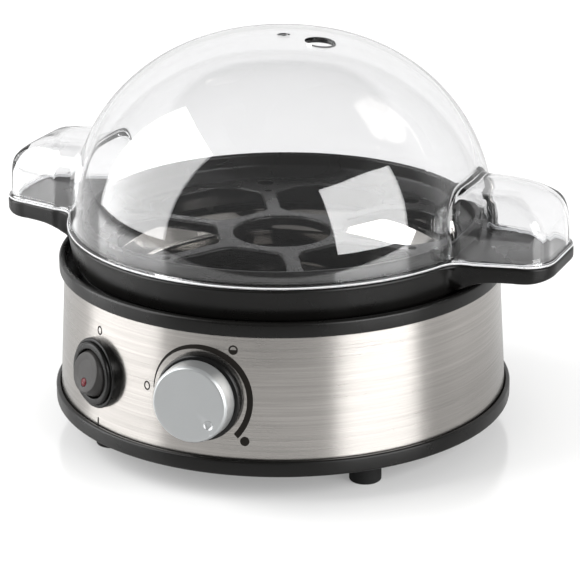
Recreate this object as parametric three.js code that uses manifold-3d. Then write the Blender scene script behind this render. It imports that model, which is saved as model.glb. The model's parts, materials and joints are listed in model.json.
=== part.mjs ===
import * as THREE from 'three';
import { mergeVertices } from 'three/addons/utils/BufferGeometryUtils.js';
import Module from 'manifold-3d';

// Electric egg cooker: steel-banded base with a dial and a rocker switch, egg tray and clear domed lid.
// Millimetres, +Z up, origin on the floor under the base's axis, the dial facing -Y.

const wasm = await Module();
wasm.setup();

// Driving dimensions

// Fits
const gap = 0.3; // clearance between two seated pieces
const overrun = 4; // how far a cutting tool runs past the piece it cuts

// Feet
const footHeight = 11.2; // floor to the underside of the base pan
const footRadius = 6.3;
const footEdge = 1.2; // rounding under the foot
const footInset = 17.2; // feet's circle inside the pan's edge
const footAngle = 45; // degrees from +X to the first foot
const footStemRadius = 2.6;
const footBarb = 1; // how far the barb stands out past the stem
const footBarbHeight = 2.2;

// Base pan
const panLedge = 2; // how far the pan's ring stands out past the steel
const panRimHeight = 6.3; // height of the black ring that shows under the steel
const panFloor = 2.4;
const panEdge = 1.4; // rounding of the ring's upper edge
const panRibHeight = 5; // rib inside the steel that centres it
const panRibWall = 1.6;

// Steel band
const bandFlare = 3; // its foot is wider than its top
const bandHeight = 52;
const bandSheet = 1;

// Upper rim
const rimOverhang = 2; // past the steel's top
const rimHeight = 6;
const rimEdge = 1.6; // rounding of its upper edge
const rimWall = 2.4; // width of its top edge
const rimSkirtWall = 1.8;
const rimSkirtDepth = 7; // how far it reaches down inside the steel
const rimChannelDepth = 4; // dark channel between rim and tray
const rimDeck = 2;
const rimSeatRise = 2.3; // tray seat above the channel
const rimSeatWidth = 6;
const rimSeatMargin = 2; // tray seat's outer edge past the tray's collar
const rimReveal = 3.7; // rim's edge past the tray's skirt
const rimCollarWall = 2.4;
const rimLedgeWidth = 6; // ledge under the heating plate's flange
const rimLedgeThick = 2.2;

// Heating plate, its seal and its ring element
const plateSheet = 1.2;
const plateDepth = 9;
const plateSlope = 5; // how far the bowl's wall leans in
const sealThick = 1.2;
const sealWidth = 4.6;
const elementRadius = 44;
const elementTube = 3.2;
const elementOpening = 50; // degrees left open between its two ends
const elementLegDrop = 12;

// Thermostat and fuse under the plate
const thermostatRadius = 8;
const thermostatHeight = 6;
const strapWidth = 8;
const strapSheet = 1;
const strapReach = 22; // centre to each strap screw
const strapFootLength = 8;
const strapScrewRadius = 1.4;
const screwHeadHeight = 1.8;
const fuseRadius = 2.2;
const fuseLength = 16;
const fuseOffset = 27; // fuse behind the axis
const fuseClipSheet = 0.8;
const fuseClipWidth = 5;
const fuseClipFoot = 4;

// Case pillars and screws
const pillarSetback = 1.6; // pillars' circle inside the tray seat's outer edge
const pillarRadius = 4;
const pillarAngle = 20; // degrees either side of the X axis
const pillarBossHeight = 6;
const caseScrewRadius = 1.6;
const caseScrewHeadRadius = 2.9;
const caseScrewReach = 10; // thread length inside the pillar

// Dial
const dialHeight = 30; // dial axis above the underside of the base pan
const collarRadius = 16.9;
const collarProud = 3.6;
const collarEdge = 1;
const collarWeb = 1.2; // disc under the nut
const collarRecess = 9.6;
const capRadius = 15.3;
const capHeight = 8;
const capBevel = 1.3;
const capWall = 1.7;
const capHubRadius = 5.6;
const capTaper = 0.3;
const dimpleRadius = 2.2;
const dimpleDepth = 0.7;
const dimpleCircle = 10.2;
const dialRest = -46; // degrees, where the dimple points at rest, from the viewer's right
const bushRadius = 4.4;
const bushProud = 4;
const nutRadius = 7.4;
const nutThick = 2;
const shaftRadius = 2.7;
const shaftFlat = 0.8; // depth of the flat on the shaft
const shaftReach = 6; // how deep the shaft runs into the cap's hub
const shaftTail = 6; // shaft inside the regulator
const regulatorWidth = 28;
const regulatorHeight = 26;
const regulatorDepth = 15;
const regulatorEdge = 3;
const regulatorTagLength = 6;
const tagWidth = 4.8;
const tagSheet = 0.8;
const tagSpreadShare = 0.29; // of the regulator's width, from one tag to the next
const tagDropShare = 0.25; // of its height, tags below the shaft

// Rocker switch
const switchAngle = -32.5; // degrees round from the dial, seen from the front
const switchHeight = 28.2; // rocker's axis above the underside of the base pan
const bezelRadius = 14.3;
const bezelStepRadius = 12.4;
const bezelStepProud = 2.8;
const bezelProud = 4.3;
const bezelEdge = 0.7; // height of the bezel's outer edge
const bezelGroove = 0.5; // shadow line between the two steps
const wellRadius = 9.7;
const wellDepth = 10;
const switchBodyRadius = 12.4;
const switchBodyDepth = 17;
const rockerFaceRadius = 7.8;
const rockerFaceRise = 5; // face above the pivot
const rockerPivotProud = 1.7;
const rockerTilt = 12; // degrees either side of level
const rockerSkirtDrop = 5; // rocker below the pivot
const trunnionRadius = 1.5;
const trunnionLength = 1.5; // into the bezel wall
const lensRadius = 1.7;
const lensThick = 0.8;
const lensDrop = 4; // lens below the face's centre

// Cord gland at the back
const glandHeight = 15; // gland axis above the underside of the base pan
const glandRadius = 7.4;
const glandProud = 9;
const glandTipRadius = 6;
const glandNeckRadius = 5.6;
const glandBore = 3.6;
const glandTail = 5; // inner flange behind the steel

// Control board, its parts and the terminal block
const boardLength = 58;
const boardWidth = 38;
const boardSheet = 1.6;
const boardStand = 8; // board above the pan floor
const boardBack = 12; // board centre behind the axis
const boardInset = 4.5; // board screws in from its edges
const boardCorner = 1.5;
const postRadius = 3.2;
const boardScrewRadius = 1.2;
const boardScrewHeadRadius = 2.4;
const boardScrewReach = 5;
const relayLength = 19;
const relayWidth = 15;
const relayHeight = 15;
const capacitorLength = 17;
const capacitorWidth = 7;
const capacitorHeight = 12;
const buzzerRadius = 6;
const buzzerHeight = 8;
const buzzerHole = 1.1; // radius of its sound hole
const blockLength = 24;
const blockWidth = 12;
const blockHeight = 10;
const blockSetback = 14; // block in from the steel
const blockBore = 2;

// Egg tray
const trayTurn = -3.6; // degrees the tray and lid sit turned on the base
const traySkirtHeight = 12.9; // seat to the land that the lid stands on
const traySkirtTaper = 2.1; // the skirt draws in to its foot
const traySkirtWall = 2.4;
const trayEdge = 0.9;
const trayCollarRadius = 80; // the radii of tray, lid, rim, steel and pan all follow from this one
const trayLandWidth = 6.3; // land outside the collar, up to the skirt
const trayCollarRise = 5.2; // collar above the lid's land
const trayCollarWall = 2.4;
const trayPlateDrop = 4.9; // egg plate below the lid's land
const trayCollarLean = 6; // egg plate's edge inside the collar
const trayPlateThick = 2.4;
const traySpigotWall = 2;
const traySpigotDepth = 3; // below the tray's seat
const handleLength = 32.5; // skirt to the handle's tip
const handleHalfWidth = 22; // where its tip starts to round
const handleTaper = 3.6; // how much wider its half is at the skirt
const handleCorner = 12;
const handleThick = 6.3;
const handleClearance = 0.8; // handle's root above the rim's top edge
const handleRootLength = 16;
const rootPullShare = 0.75; // how far back towards the skirt the root's curve is pulled
const handleTipRise = 1.3; // the underside turns up to the tip
const handleFlare = 5; // how far the handle widens at the skirt
const cornerPullShare = 0.1; // a corner curve's pull back from the sharp corner

// Egg openings in the tray
const eggCount = 6; // round the middle one
const middleHole = 19.6;
const eggHoleInner = 26; // axis to the near edge of an outer opening
const eggHoleMargin = 7.5; // its far edge inside the egg plate's edge
const eggWeb = 6.4; // spoke between two openings
const eggHoleCorner = 6;
const eggShoulderShare = 0.55; // of an opening's length, where it is widest
const eggCrestShare = 0.86; // of its length, where it starts to close
const eggCrestWidthShare = 0.82; // of its widest half width, there
const eggEndShare = 0.95; // far edge against near edge
const sleeveWall = 1.5;
const sleeveDepth = 6.5;
const slotInset = 6.5; // steam slots' circle inside the egg plate's edge
const slotRadius = 3.6;
const pinHoleRadius = 1.7;
const pinHoleInset = 18; // pin holes' circle inside the egg plate's edge

// Lid
const lidSheet = 2.2;
const lidCollarGap = 2.7; // lid's inner face outside the tray's collar
const lidHeight = 76.1; // land on the tray to the crown
const crownDrop = 1.5; // how much flatter the crown is than the dome's curve
const crownSpread = 22; // radius over which it flattens
const lidFullness = 2.12; // exponent of its superellipse profile
const lidFlangeThick = 1.6;
const lidFlangeSteps = 2;
const lidFlangeStep = 0.7; // width of each step of the flange
const earHeight = 26.8; // land to the ear box's flat top
const earTopCorner = 18;
const earTipCorner = 20;
const earInset = 0.9; // ear box wall inside the handle's edge
const earOverlap = 18.9; // how far the box starts inside the dome
const shoulderPullShare = 0.2; // as cornerPullShare, for the box's rounder shoulders
const ventRadius = 6;
const ventX = 17.5;
const ventY = -1.8;
const gateRadius = 2.6; // small dimple near the crown
const gateX = 1.1;
const gateY = 0.4;
const gateDepth = 0.6;

// Facets
const ringSides = 40;
const dialSides = 28;
const smallSides = 14;
const pinSides = 8;
const domeRows = 12;
const arcSteps = 2;
const planSteps = 4;
const eggSteps = 3;
const nutSides = 6;
const reachShare = 0.48; // the most of a side that one rounded corner takes

// Radii worked out from the tray's collar

const trayRimRadius = trayCollarRadius + trayLandWidth;
const trayPlateRadius = trayCollarRadius - trayCollarLean;
const eggHoleOuter = trayPlateRadius - eggHoleMargin;
const slotCircle = trayPlateRadius - slotInset;
const pinHoleCircle = trayPlateRadius - pinHoleInset;
const handleReach = trayRimRadius + handleLength;
const lidRadius = trayCollarRadius + lidCollarGap + lidSheet;
const earRoot = lidRadius - earOverlap;
const rimSeatRadius = trayCollarRadius + rimSeatMargin;
const pillarCircle = rimSeatRadius - pillarSetback;
const rimRadius = trayRimRadius + rimReveal;
const bandTopRadius = rimRadius - rimOverhang;
const bandFootRadius = bandTopRadius + bandFlare;
const panRadius = bandFootRadius + panLedge;
const footCircle = panRadius - footInset;

// Heights worked out from the driving dimensions

const panBottom = footHeight;
const panFloorTop = panBottom + panFloor;
const panTop = panBottom + panRimHeight;
const bandBottom = panFloorTop + gap;
const bandTop = bandBottom + bandHeight;
const rimBottom = bandTop + gap;
const rimTop = rimBottom + rimHeight;
const channelFloor = rimTop - rimChannelDepth;
const seatTop = channelFloor + rimSeatRise;
const rimThroat = rimSeatRadius - rimSeatWidth;
const ledgeInner = rimThroat - rimLedgeWidth;
const skirtBottom = rimBottom - rimSkirtDepth;
const ledgeBottom = skirtBottom + rimLedgeThick;
const ledgeTop = ledgeBottom + rimLedgeThick;
const sealBottom = ledgeTop + gap;
const flangeBottom = sealBottom + sealThick + gap;
const flangeTop = flangeBottom + plateSheet;
const bowlFloor = flangeTop - plateDepth;
const bowlUnder = bowlFloor - plateSheet;
const trayFoot = seatTop + gap;
const trayLand = trayFoot + traySkirtHeight;
const trayPlateTop = trayLand - trayPlateDrop;
const trayPlateUnder = trayPlateTop - trayPlateThick;
const lidFoot = trayLand + gap;
const crown = trayLand + lidHeight;
const dialCentre = panBottom + dialHeight;
const switchCentre = panBottom + switchHeight;
const glandCentre = panBottom + glandHeight;
const bandSlope = Math.atan2(bandFootRadius - bandTopRadius, bandHeight);

// Helpers

const turn = (degrees) => THREE.MathUtils.degToRad(degrees);
const at = (r, z) => new THREE.Vector2(r, z);

// Outer radius of the steel at a height
function bandRadius(z) {
  return bandFootRadius - (z - bandBottom) * Math.tan(bandSlope);
}

// Merge shared vertices and drop the slivers that a pole leaves
function welded(geometry) {
  const bare = geometry.clone();
  bare.deleteAttribute('normal');
  bare.deleteAttribute('uv');
  const merged = mergeVertices(bare);
  const old = merged.index.array;
  const kept = [];
  for (let i = 0; i < old.length; i += 3) {
    const [a, b, c] = [old[i], old[i + 1], old[i + 2]];
    if (a !== b && b !== c && a !== c) kept.push(a, b, c);
  }
  merged.setIndex(kept);
  return merged;
}

function toSolid(geometry) {
  const mesh = welded(geometry);
  return new wasm.Manifold(new wasm.Mesh({
    numProp: 3,
    vertProperties: new Float32Array(mesh.attributes.position.array),
    triVerts: new Uint32Array(mesh.index.array),
  }));
}

function toGeometry(solid) {
  const mesh = solid.getMesh();
  const geometry = new THREE.BufferGeometry();
  geometry.setAttribute('position', new THREE.BufferAttribute(mesh.vertProperties, 3));
  geometry.setIndex(new THREE.BufferAttribute(mesh.triVerts, 1));
  return geometry;
}

function join(first, ...others) {
  return toGeometry(others.reduce((sum, part) => sum.add(toSolid(part)), toSolid(first)));
}

function cut(first, ...tools) {
  return toGeometry(tools.reduce((rest, tool) => rest.subtract(toSolid(tool)), toSolid(first)));
}

function common(first, ...others) {
  return toGeometry(others.reduce((rest, part) => rest.intersect(toSolid(part)), toSolid(first)));
}

// Solid of revolution about Z from a closed outline, or from one that starts and ends on the axis
function spun(outline, sides) {
  const onAxis = outline[0].x === 0 && outline[outline.length - 1].x === 0;
  const ring = onAxis ? outline.slice() : [...outline, outline[0].clone()];
  if (THREE.ShapeUtils.area(ring) < 0) ring.reverse();
  const geometry = new THREE.LatheGeometry(ring, sides);
  geometry.rotateX(turn(90));
  return welded(geometry);
}

// Upright prism of a shape between two heights
function prism(shape, low, high, curveSegments = planSteps) {
  const options = { depth: high - low, bevelEnabled: false, curveSegments };
  return new THREE.ExtrudeGeometry(shape, options).translate(0, 0, low);
}

// Upright round bar between two heights
function bar(radius, low, high, sides = smallSides) {
  const geometry = new THREE.CylinderGeometry(radius, radius, high - low, sides);
  return geometry.rotateX(turn(90)).translate(0, 0, (low + high) / 2);
}

// Box by its size, standing on a height
function block(length, width, height, low) {
  return new THREE.BoxGeometry(length, width, height).translate(0, 0, low + height / 2);
}

// Points of an arc in an outline, from one angle to another, in degrees
function arc(r, z, radius, from, to, steps = arcSteps) {
  const points = [];
  for (let i = 0; i <= steps; i += 1) {
    const angle = turn(from + ((to - from) * i) / steps);
    points.push(at(r + radius * Math.cos(angle), z + radius * Math.sin(angle)));
  }
  return points;
}

// Closed shape through corners, each rounded by a radius
function roundedShape(corners, radius) {
  const shape = new THREE.Shape();
  corners.forEach((corner, i) => {
    const before = corners[(i + corners.length - 1) % corners.length];
    const after = corners[(i + 1) % corners.length];
    const back = before.clone().sub(corner);
    const ahead = after.clone().sub(corner);
    const reach = Math.min(radius, back.length() * reachShare, ahead.length() * reachShare);
    const start = corner.clone().add(back.setLength(reach));
    const end = corner.clone().add(ahead.setLength(reach));
    if (i === 0) shape.moveTo(start.x, start.y);
    else shape.lineTo(start.x, start.y);
    shape.quadraticCurveTo(corner.x, corner.y, end.x, end.y);
  });
  shape.closePath();
  return shape;
}

function rectangle(length, width, corner) {
  const [x, y] = [length / 2, width / 2];
  return roundedShape([at(-x, -y), at(x, -y), at(x, y), at(-x, y)], corner);
}

// Frame on the steel: Z out of the sheet, Y up it, X to the right of someone facing it
function panelFrame(degrees, z) {
  const a = turn(degrees);
  const r = bandRadius(z);
  const right = new THREE.Vector3(Math.cos(a), Math.sin(a), 0);
  const out = new THREE.Vector3(Math.sin(a), -Math.cos(a), 0);
  out.multiplyScalar(Math.cos(bandSlope)).setZ(Math.sin(bandSlope));
  const up = out.clone().cross(right);
  const frame = new THREE.Matrix4().makeBasis(right, up, out);
  return frame.setPosition(r * Math.sin(a), -r * Math.cos(a), z);
}

// The steel's outer face as a solid cone, moved out by an offset, in a panel frame
function bandCone(offset, frame) {
  const low = bandBottom - overrun;
  const high = bandTop + overrun;
  const cone = spun([at(0, low), at(bandRadius(low) + offset, low), at(bandRadius(high) + offset, high),
    at(0, high)], ringSides);
  return cone.applyMatrix4(frame.clone().invert());
}

// How far the steel falls back behind its tangent plane at the edge of a flat piece
function fallBack(halfWidth) {
  const r = bandRadius(dialCentre);
  return r - Math.sqrt(r * r - halfWidth * halfWidth);
}

function copiesRound(count, circle, startDegrees, make) {
  const copies = [];
  for (let i = 0; i < count; i += 1) {
    const angle = turn(startDegrees + (360 * i) / count);
    copies.push(make().translate(circle * Math.cos(angle), circle * Math.sin(angle), 0));
  }
  return copies;
}

// Centres of the four case pillars
function pillarPlaces() {
  return [pillarAngle, 180 - pillarAngle, 180 + pillarAngle, -pillarAngle].map((degrees) => (
    at(pillarCircle * Math.cos(turn(degrees)), pillarCircle * Math.sin(turn(degrees)))));
}

// Centres of the four board screws
function boardPlaces() {
  const x = boardLength / 2 - boardInset;
  const y = boardWidth / 2 - boardInset;
  return [at(x, boardBack + y), at(-x, boardBack + y), at(-x, boardBack - y), at(x, boardBack - y)];
}

const movedTo = (geometry, place) => geometry.translate(place.x, place.y, 0);

// Finishes

function finish(colour, roughness, metalness = 0) {
  return new THREE.MeshStandardMaterial({ color: colour, roughness, metalness });
}

const blackSatin = finish(0x2b2a2a, 0.5);
const blackGloss = finish(0x1d1c1c, 0.2);
const brushedSteel = finish(0xb9b5b0, 0.32, 1);
const satinSilver = finish(0xb4b7b8, 0.35, 0.9);
const clearPlastic = finish(0xe9eef2, 0.05);
clearPlastic.transparent = true;
clearPlastic.opacity = 0.3;
const darkRubber = finish(0x1a1a1a, 0.85);
const coatedPlate = finish(0x8d8f92, 0.4, 0.8);
const sealRubber = finish(0xb9b2a6, 0.8);
const zincSteel = finish(0x9ea1a3, 0.4, 0.9);
const greyPlastic = finish(0x55534f, 0.45);
const redLens = finish(0xb3202c, 0.25);
const boardGreen = finish(0x2f6b3c, 0.5);
const whitePlastic = finish(0xdedbd2, 0.45);
const brass = finish(0xb59a4c, 0.35, 0.9);
const elementSheath = finish(0x6f6b66, 0.45, 0.7);

const model = new THREE.Group();

function addPiece(parent, name, geometry, material) {
  const mesh = new THREE.Mesh(welded(geometry), material);
  mesh.name = name;
  parent.add(mesh);
  return mesh;
}

// Feet

function footGeometry() {
  const top = panBottom - gap;
  const barbBottom = panFloorTop + gap;
  const barb = footStemRadius + footBarb;
  return spun([
    at(0, 0), at(footRadius - footEdge, 0), at(footRadius, footEdge), at(footRadius, top),
    at(footStemRadius, top), at(footStemRadius, barbBottom), at(barb, barbBottom),
    at(footStemRadius, barbBottom + footBarbHeight), at(0, barbBottom + footBarbHeight),
  ], smallSides);
}

const footNames = ['foot_back_right', 'foot_back_left', 'foot_front_left', 'foot_front_right'];
footNames.forEach((name, i) => {
  const angle = turn(footAngle + (360 * i) / footNames.length);
  const foot = addPiece(model, name, footGeometry(), darkRubber);
  foot.position.set(footCircle * Math.cos(angle), footCircle * Math.sin(angle), 0);
});

// Base pan with the ring that shows, bosses for the case screws and posts for the board

function basePanGeometry() {
  const inside = bandRadius(bandBottom) + gap;
  const ribOut = bandRadius(bandBottom + panRibHeight) - bandSheet - gap;
  const ribTop = panFloorTop + panRibHeight;
  const shell = spun([
    at(0, panBottom), at(panRadius - panEdge / 2, panBottom), at(panRadius, panBottom + panEdge / 2),
    ...arc(panRadius - panEdge, panTop - panEdge, panEdge, 0, 90), at(inside, panTop),
    at(inside, panFloorTop), at(ribOut, panFloorTop), at(ribOut, ribTop),
    at(ribOut - panRibWall, ribTop), at(ribOut - panRibWall, panFloorTop), at(0, panFloorTop),
  ], ringSides);
  const bosses = pillarPlaces().map((place) => (
    movedTo(bar(pillarRadius, panFloorTop - gap, panFloorTop + pillarBossHeight), place)));
  const posts = boardPlaces().map((place) => (
    movedTo(bar(postRadius, panFloorTop - gap, panFloorTop + boardStand, pinSides), place)));
  const screwWays = pillarPlaces().flatMap((place) => [
    movedTo(bar(caseScrewRadius + gap, panBottom - overrun, panFloorTop + pillarBossHeight + overrun,
      pinSides), place),
    movedTo(bar(caseScrewHeadRadius + gap, panBottom - overrun, panFloorTop), place),
  ]);
  const pilots = boardPlaces().map((place) => (
    movedTo(bar(boardScrewRadius + gap / 2, panFloorTop + boardStand - boardScrewReach,
      panFloorTop + boardStand + overrun, pinSides), place)));
  const footWays = copiesRound(footNames.length, footCircle, footAngle, () => (
    bar(footStemRadius + gap, panBottom - overrun, panFloorTop + overrun, pinSides)));
  return cut(join(shell, ...bosses, ...posts), ...screwWays, ...pilots, ...footWays);
}

addPiece(model, 'base_pan', basePanGeometry(), blackSatin);

// Steel band with its three panel holes

const dialFrame = panelFrame(0, dialCentre);
const switchFrame = panelFrame(switchAngle, switchCentre);
const glandFrame = panelFrame(180, glandCentre);

function panelHole(radius, frame) {
  return bar(radius, -overrun, overrun, dialSides).applyMatrix4(frame);
}

function steelBandGeometry() {
  const sheet = spun([
    at(bandFootRadius, bandBottom), at(bandTopRadius, bandTop),
    at(bandTopRadius - bandSheet, bandTop), at(bandFootRadius - bandSheet, bandBottom),
  ], ringSides);
  return cut(sheet, panelHole(bushRadius + gap, dialFrame),
    panelHole(switchBodyRadius + gap, switchFrame), panelHole(glandNeckRadius + gap, glandFrame));
}

addPiece(model, 'steel_band', steelBandGeometry(), brushedSteel);

// Upper rim: edge that shows, tray seat, ledge for the heating plate and pillars down to the pan

function upperRimGeometry() {
  const skirtOut = bandTopRadius - bandSheet - gap;
  const innerEdge = rimRadius - rimWall;
  const groove = rimEdge / 2;
  const body = spun([
    at(skirtOut, rimBottom), at(rimRadius - groove, rimBottom), at(rimRadius, rimBottom + groove),
    ...arc(rimRadius - rimEdge, rimTop - rimEdge, rimEdge, 0, 90),
    at(innerEdge, rimTop - groove / 2), at(innerEdge, channelFloor), at(rimSeatRadius, channelFloor),
    at(rimSeatRadius, seatTop), at(rimThroat, seatTop), at(rimThroat, ledgeTop), at(ledgeInner, ledgeTop),
    at(ledgeInner, ledgeBottom), at(rimThroat + rimCollarWall, ledgeBottom),
    at(rimThroat + rimCollarWall, channelFloor - rimDeck),
    at(skirtOut - rimSkirtWall, channelFloor - rimDeck),
    at(skirtOut - rimSkirtWall, skirtBottom), at(skirtOut, skirtBottom),
  ], ringSides);
  const pillarBottom = panFloorTop + pillarBossHeight + gap;
  const pillars = pillarPlaces().map((place) => (
    movedTo(bar(pillarRadius, pillarBottom, channelFloor - rimDeck / 2), place)));
  const pilots = pillarPlaces().map((place) => (
    movedTo(bar(caseScrewRadius + gap / 2, pillarBottom - overrun, pillarBottom + caseScrewReach + gap,
      pinSides), place)));
  return cut(join(body, ...pillars), ...pilots);
}

addPiece(model, 'upper_rim', upperRimGeometry(), blackSatin);

// Screw standing on Z: a round head between two heights and a shank from it to the tip
function screwGeometry(headRadius, headFar, headNear, shankRadius, tip) {
  return spun([
    at(0, headFar), at(headRadius, headFar), at(headRadius, headNear), at(shankRadius, headNear),
    at(shankRadius, tip), at(0, tip),
  ], pinSides);
}

function addScrews(name, places, make) {
  places.forEach((place, i) => {
    const screw = addPiece(model, `${name}_${i + 1}`, make(), zincSteel);
    screw.position.set(place.x, place.y, 0);
  });
}

// Case screws, up through the pan's bosses

function caseScrewGeometry() {
  const headTop = panFloorTop - gap;
  const tip = panFloorTop + pillarBossHeight + gap + caseScrewReach;
  return screwGeometry(caseScrewHeadRadius, headTop - screwHeadHeight, headTop, caseScrewRadius, tip);
}

addScrews('case_screw', pillarPlaces(), caseScrewGeometry);

// Heating plate: a shallow bowl with a flange, and the seal under the flange

function heatingPlateGeometry() {
  const flange = rimThroat - gap;
  const mouth = ledgeInner - gap - plateSheet;
  const floorEdge = mouth - plateSlope;
  const wallOut = mouth + plateSheet;
  return spun([
    at(0, bowlFloor), at(floorEdge - plateSheet, bowlFloor),
    at(floorEdge + plateSheet, bowlFloor + plateSheet), at(mouth, flangeTop - plateSheet / 2),
    at(wallOut, flangeTop), at(flange, flangeTop), at(flange, flangeBottom), at(wallOut, flangeBottom),
    at(floorEdge + plateSlope / 2, bowlFloor), at(floorEdge - plateSheet / 2, bowlUnder),
    at(0, bowlUnder),
  ], ringSides);
}

function sealGeometry() {
  const outer = rimThroat - gap * 2;
  return spun([at(outer - sealWidth, sealBottom), at(outer, sealBottom),
    at(outer, sealBottom + sealThick), at(outer - sealWidth, sealBottom + sealThick)], ringSides);
}

addPiece(model, 'heating_plate', heatingPlateGeometry(), coatedPlate);
addPiece(model, 'plate_seal', sealGeometry(), sealRubber);

// Ring element pressed to the plate's underside, its two cold ends turned down at the back

const elementHeight = bowlUnder - gap - elementTube;

class ElementPath extends THREE.Curve {
  getPoint(t, target = new THREE.Vector3()) {
    const half = turn(elementOpening / 2);
    const arcLength = elementRadius * (2 * Math.PI - 2 * half);
    const total = arcLength + 2 * elementLegDrop;
    const s = t * total;
    const along = THREE.MathUtils.clamp(s - elementLegDrop, 0, arcLength);
    const angle = Math.PI / 2 + half + along / elementRadius;
    const beyond = Math.max(elementLegDrop - s, s - elementLegDrop - arcLength, 0);
    const bend = elementTube * 2;
    const drop = beyond < bend ? (beyond * beyond) / (2 * bend) : beyond - bend / 2;
    const [x, y] = [elementRadius * Math.cos(angle), elementRadius * Math.sin(angle)];
    return target.set(x, y, elementHeight - drop);
  }
}

function elementGeometry() {
  const section = new THREE.Shape().absarc(0, 0, elementTube, 0, 2 * Math.PI);
  return new THREE.ExtrudeGeometry(section, {
    steps: ringSides,
    extrudePath: new ElementPath(),
    curveSegments: planSteps,
  });
}

// Thermostat on its strap, and the fuse in its clip

const contact = bowlUnder - gap;
const strapLow = contact - thermostatHeight - gap - strapSheet;

function strapGeometry() {
  const run = strapReach + strapFootLength / 2;
  const foot = strapReach - strapFootLength / 2;
  const rise = thermostatRadius + strapSheet * 2;
  const side = [
    at(-run, contact), at(-run, contact - strapSheet), at(-foot, contact - strapSheet),
    at(-rise, strapLow), at(rise, strapLow), at(foot, contact - strapSheet),
    at(run, contact - strapSheet), at(run, contact),
    at(foot - strapSheet / 2, contact), at(rise - strapSheet / 2, strapLow + strapSheet),
    at(-rise + strapSheet / 2, strapLow + strapSheet), at(-foot + strapSheet / 2, contact),
  ];
  const strip = prism(new THREE.Shape(side), -strapWidth / 2, strapWidth / 2).rotateX(turn(90));
  const holes = [-1, 1].map((way) => (
    bar(strapScrewRadius + gap, contact - overrun, contact + overrun, pinSides)
      .translate(way * strapReach, 0, 0)));
  return cut(strip, ...holes);
}

function strapScrewGeometry() {
  const headTop = contact - strapSheet - gap;
  return screwGeometry(strapScrewRadius * 2, headTop - screwHeadHeight, headTop, strapScrewRadius,
    contact);
}

function thermostatGeometry() {
  return spun([
    at(0, contact - thermostatHeight), at(thermostatRadius - gap, contact - thermostatHeight),
    at(thermostatRadius, contact - thermostatHeight / 2), at(thermostatRadius, contact), at(0, contact),
  ], smallSides);
}

function fuseGeometry() {
  const barrel = new THREE.CapsuleGeometry(fuseRadius, fuseLength - 2 * fuseRadius, arcSteps, pinSides);
  return barrel.rotateZ(turn(90)).translate(0, -fuseOffset, contact - fuseRadius);
}

function fuseClipGeometry() {
  const inner = fuseRadius + gap;
  const outer = inner + fuseClipSheet;
  const side = [
    at(-outer - fuseClipFoot, 0), at(-outer - fuseClipFoot, -fuseClipSheet), at(-outer, -fuseClipSheet),
    ...arc(0, -fuseRadius, outer, 180, 360, planSteps), at(outer, -fuseClipSheet),
    at(outer + fuseClipFoot, -fuseClipSheet), at(outer + fuseClipFoot, 0), at(inner, 0),
    ...arc(0, -fuseRadius, inner, 360, 180, planSteps), at(-inner, 0),
  ];
  const strip = prism(new THREE.Shape(side), -fuseClipWidth / 2, fuseClipWidth / 2);
  return strip.rotateX(turn(90)).rotateZ(turn(90)).translate(0, -fuseOffset, contact);
}

addPiece(model, 'heating_element', elementGeometry(), elementSheath);
addPiece(model, 'thermostat', thermostatGeometry(), whitePlastic);
addPiece(model, 'thermostat_strap', strapGeometry(), zincSteel);
addScrews('strap_screw', [at(-strapReach, 0), at(strapReach, 0)], strapScrewGeometry);
addPiece(model, 'thermal_fuse', fuseGeometry(), brass);
addPiece(model, 'fuse_clip', fuseClipGeometry(), zincSteel);

// Control board on the pan's posts, with its parts and screws

const boardUnder = panFloorTop + boardStand + gap;
const boardTop = boardUnder + boardSheet;

function boardGeometry() {
  const board = prism(rectangle(boardLength, boardWidth, boardCorner), boardUnder, boardTop);
  board.translate(0, boardBack, 0);
  const holes = boardPlaces().map((place) => (
    movedTo(bar(boardScrewRadius + gap, boardUnder - overrun, boardTop + overrun, pinSides), place)));
  return cut(board, ...holes);
}

function boardScrewGeometry() {
  const low = boardTop + gap;
  const tip = panFloorTop + boardStand - boardScrewReach + gap;
  return screwGeometry(boardScrewHeadRadius, low + screwHeadHeight, low, boardScrewRadius, tip);
}

function onBoard(geometry, xShare, yShare) {
  return geometry.translate(xShare * boardLength, boardBack + yShare * boardWidth, 0);
}

const partBottom = boardTop + gap;
const relayPlaceShares = [-0.2, 0.08];
const capacitorPlaceShares = [0.16, 0.2];
const buzzerPlaceShares = [0.22, -0.2];

addPiece(model, 'control_board', boardGeometry(), boardGreen);
addScrews('board_screw', boardPlaces(), boardScrewGeometry);
addPiece(model, 'relay', onBoard(prism(rectangle(relayLength, relayWidth, boardSheet), partBottom,
  partBottom + relayHeight), ...relayPlaceShares), blackGloss);
addPiece(model, 'film_capacitor', onBoard(prism(rectangle(capacitorLength, capacitorWidth, boardSheet),
  partBottom, partBottom + capacitorHeight), ...capacitorPlaceShares), whitePlastic);

function buzzerGeometry() {
  const top = partBottom + buzzerHeight;
  return spun([
    at(0, partBottom), at(buzzerRadius, partBottom), at(buzzerRadius, top - gap),
    at(buzzerRadius - gap, top),
    at(buzzerHole, top), at(buzzerHole, top - boardSheet), at(0, top - boardSheet),
  ], smallSides);
}

addPiece(model, 'buzzer', onBoard(buzzerGeometry(), ...buzzerPlaceShares), blackSatin);

// Terminal block where the supply cord would be joined

function terminalBlockGeometry() {
  const bottom = panFloorTop + gap;
  const body = prism(rectangle(blockLength, blockWidth, boardSheet), bottom, bottom + blockHeight);
  const ways = [-1, 1].flatMap((way) => [
    bar(blockBore, bottom + blockHeight / 2, bottom + blockHeight + overrun, pinSides)
      .translate((way * blockLength) / 4, 0, 0),
    bar(blockBore, -blockWidth, blockWidth, pinSides).rotateX(turn(90))
      .translate((way * blockLength) / 4, 0, bottom + blockHeight / 2),
  ]);
  return cut(body, ...ways).translate(0, bandRadius(glandCentre) - blockSetback - blockWidth / 2, 0);
}

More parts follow.
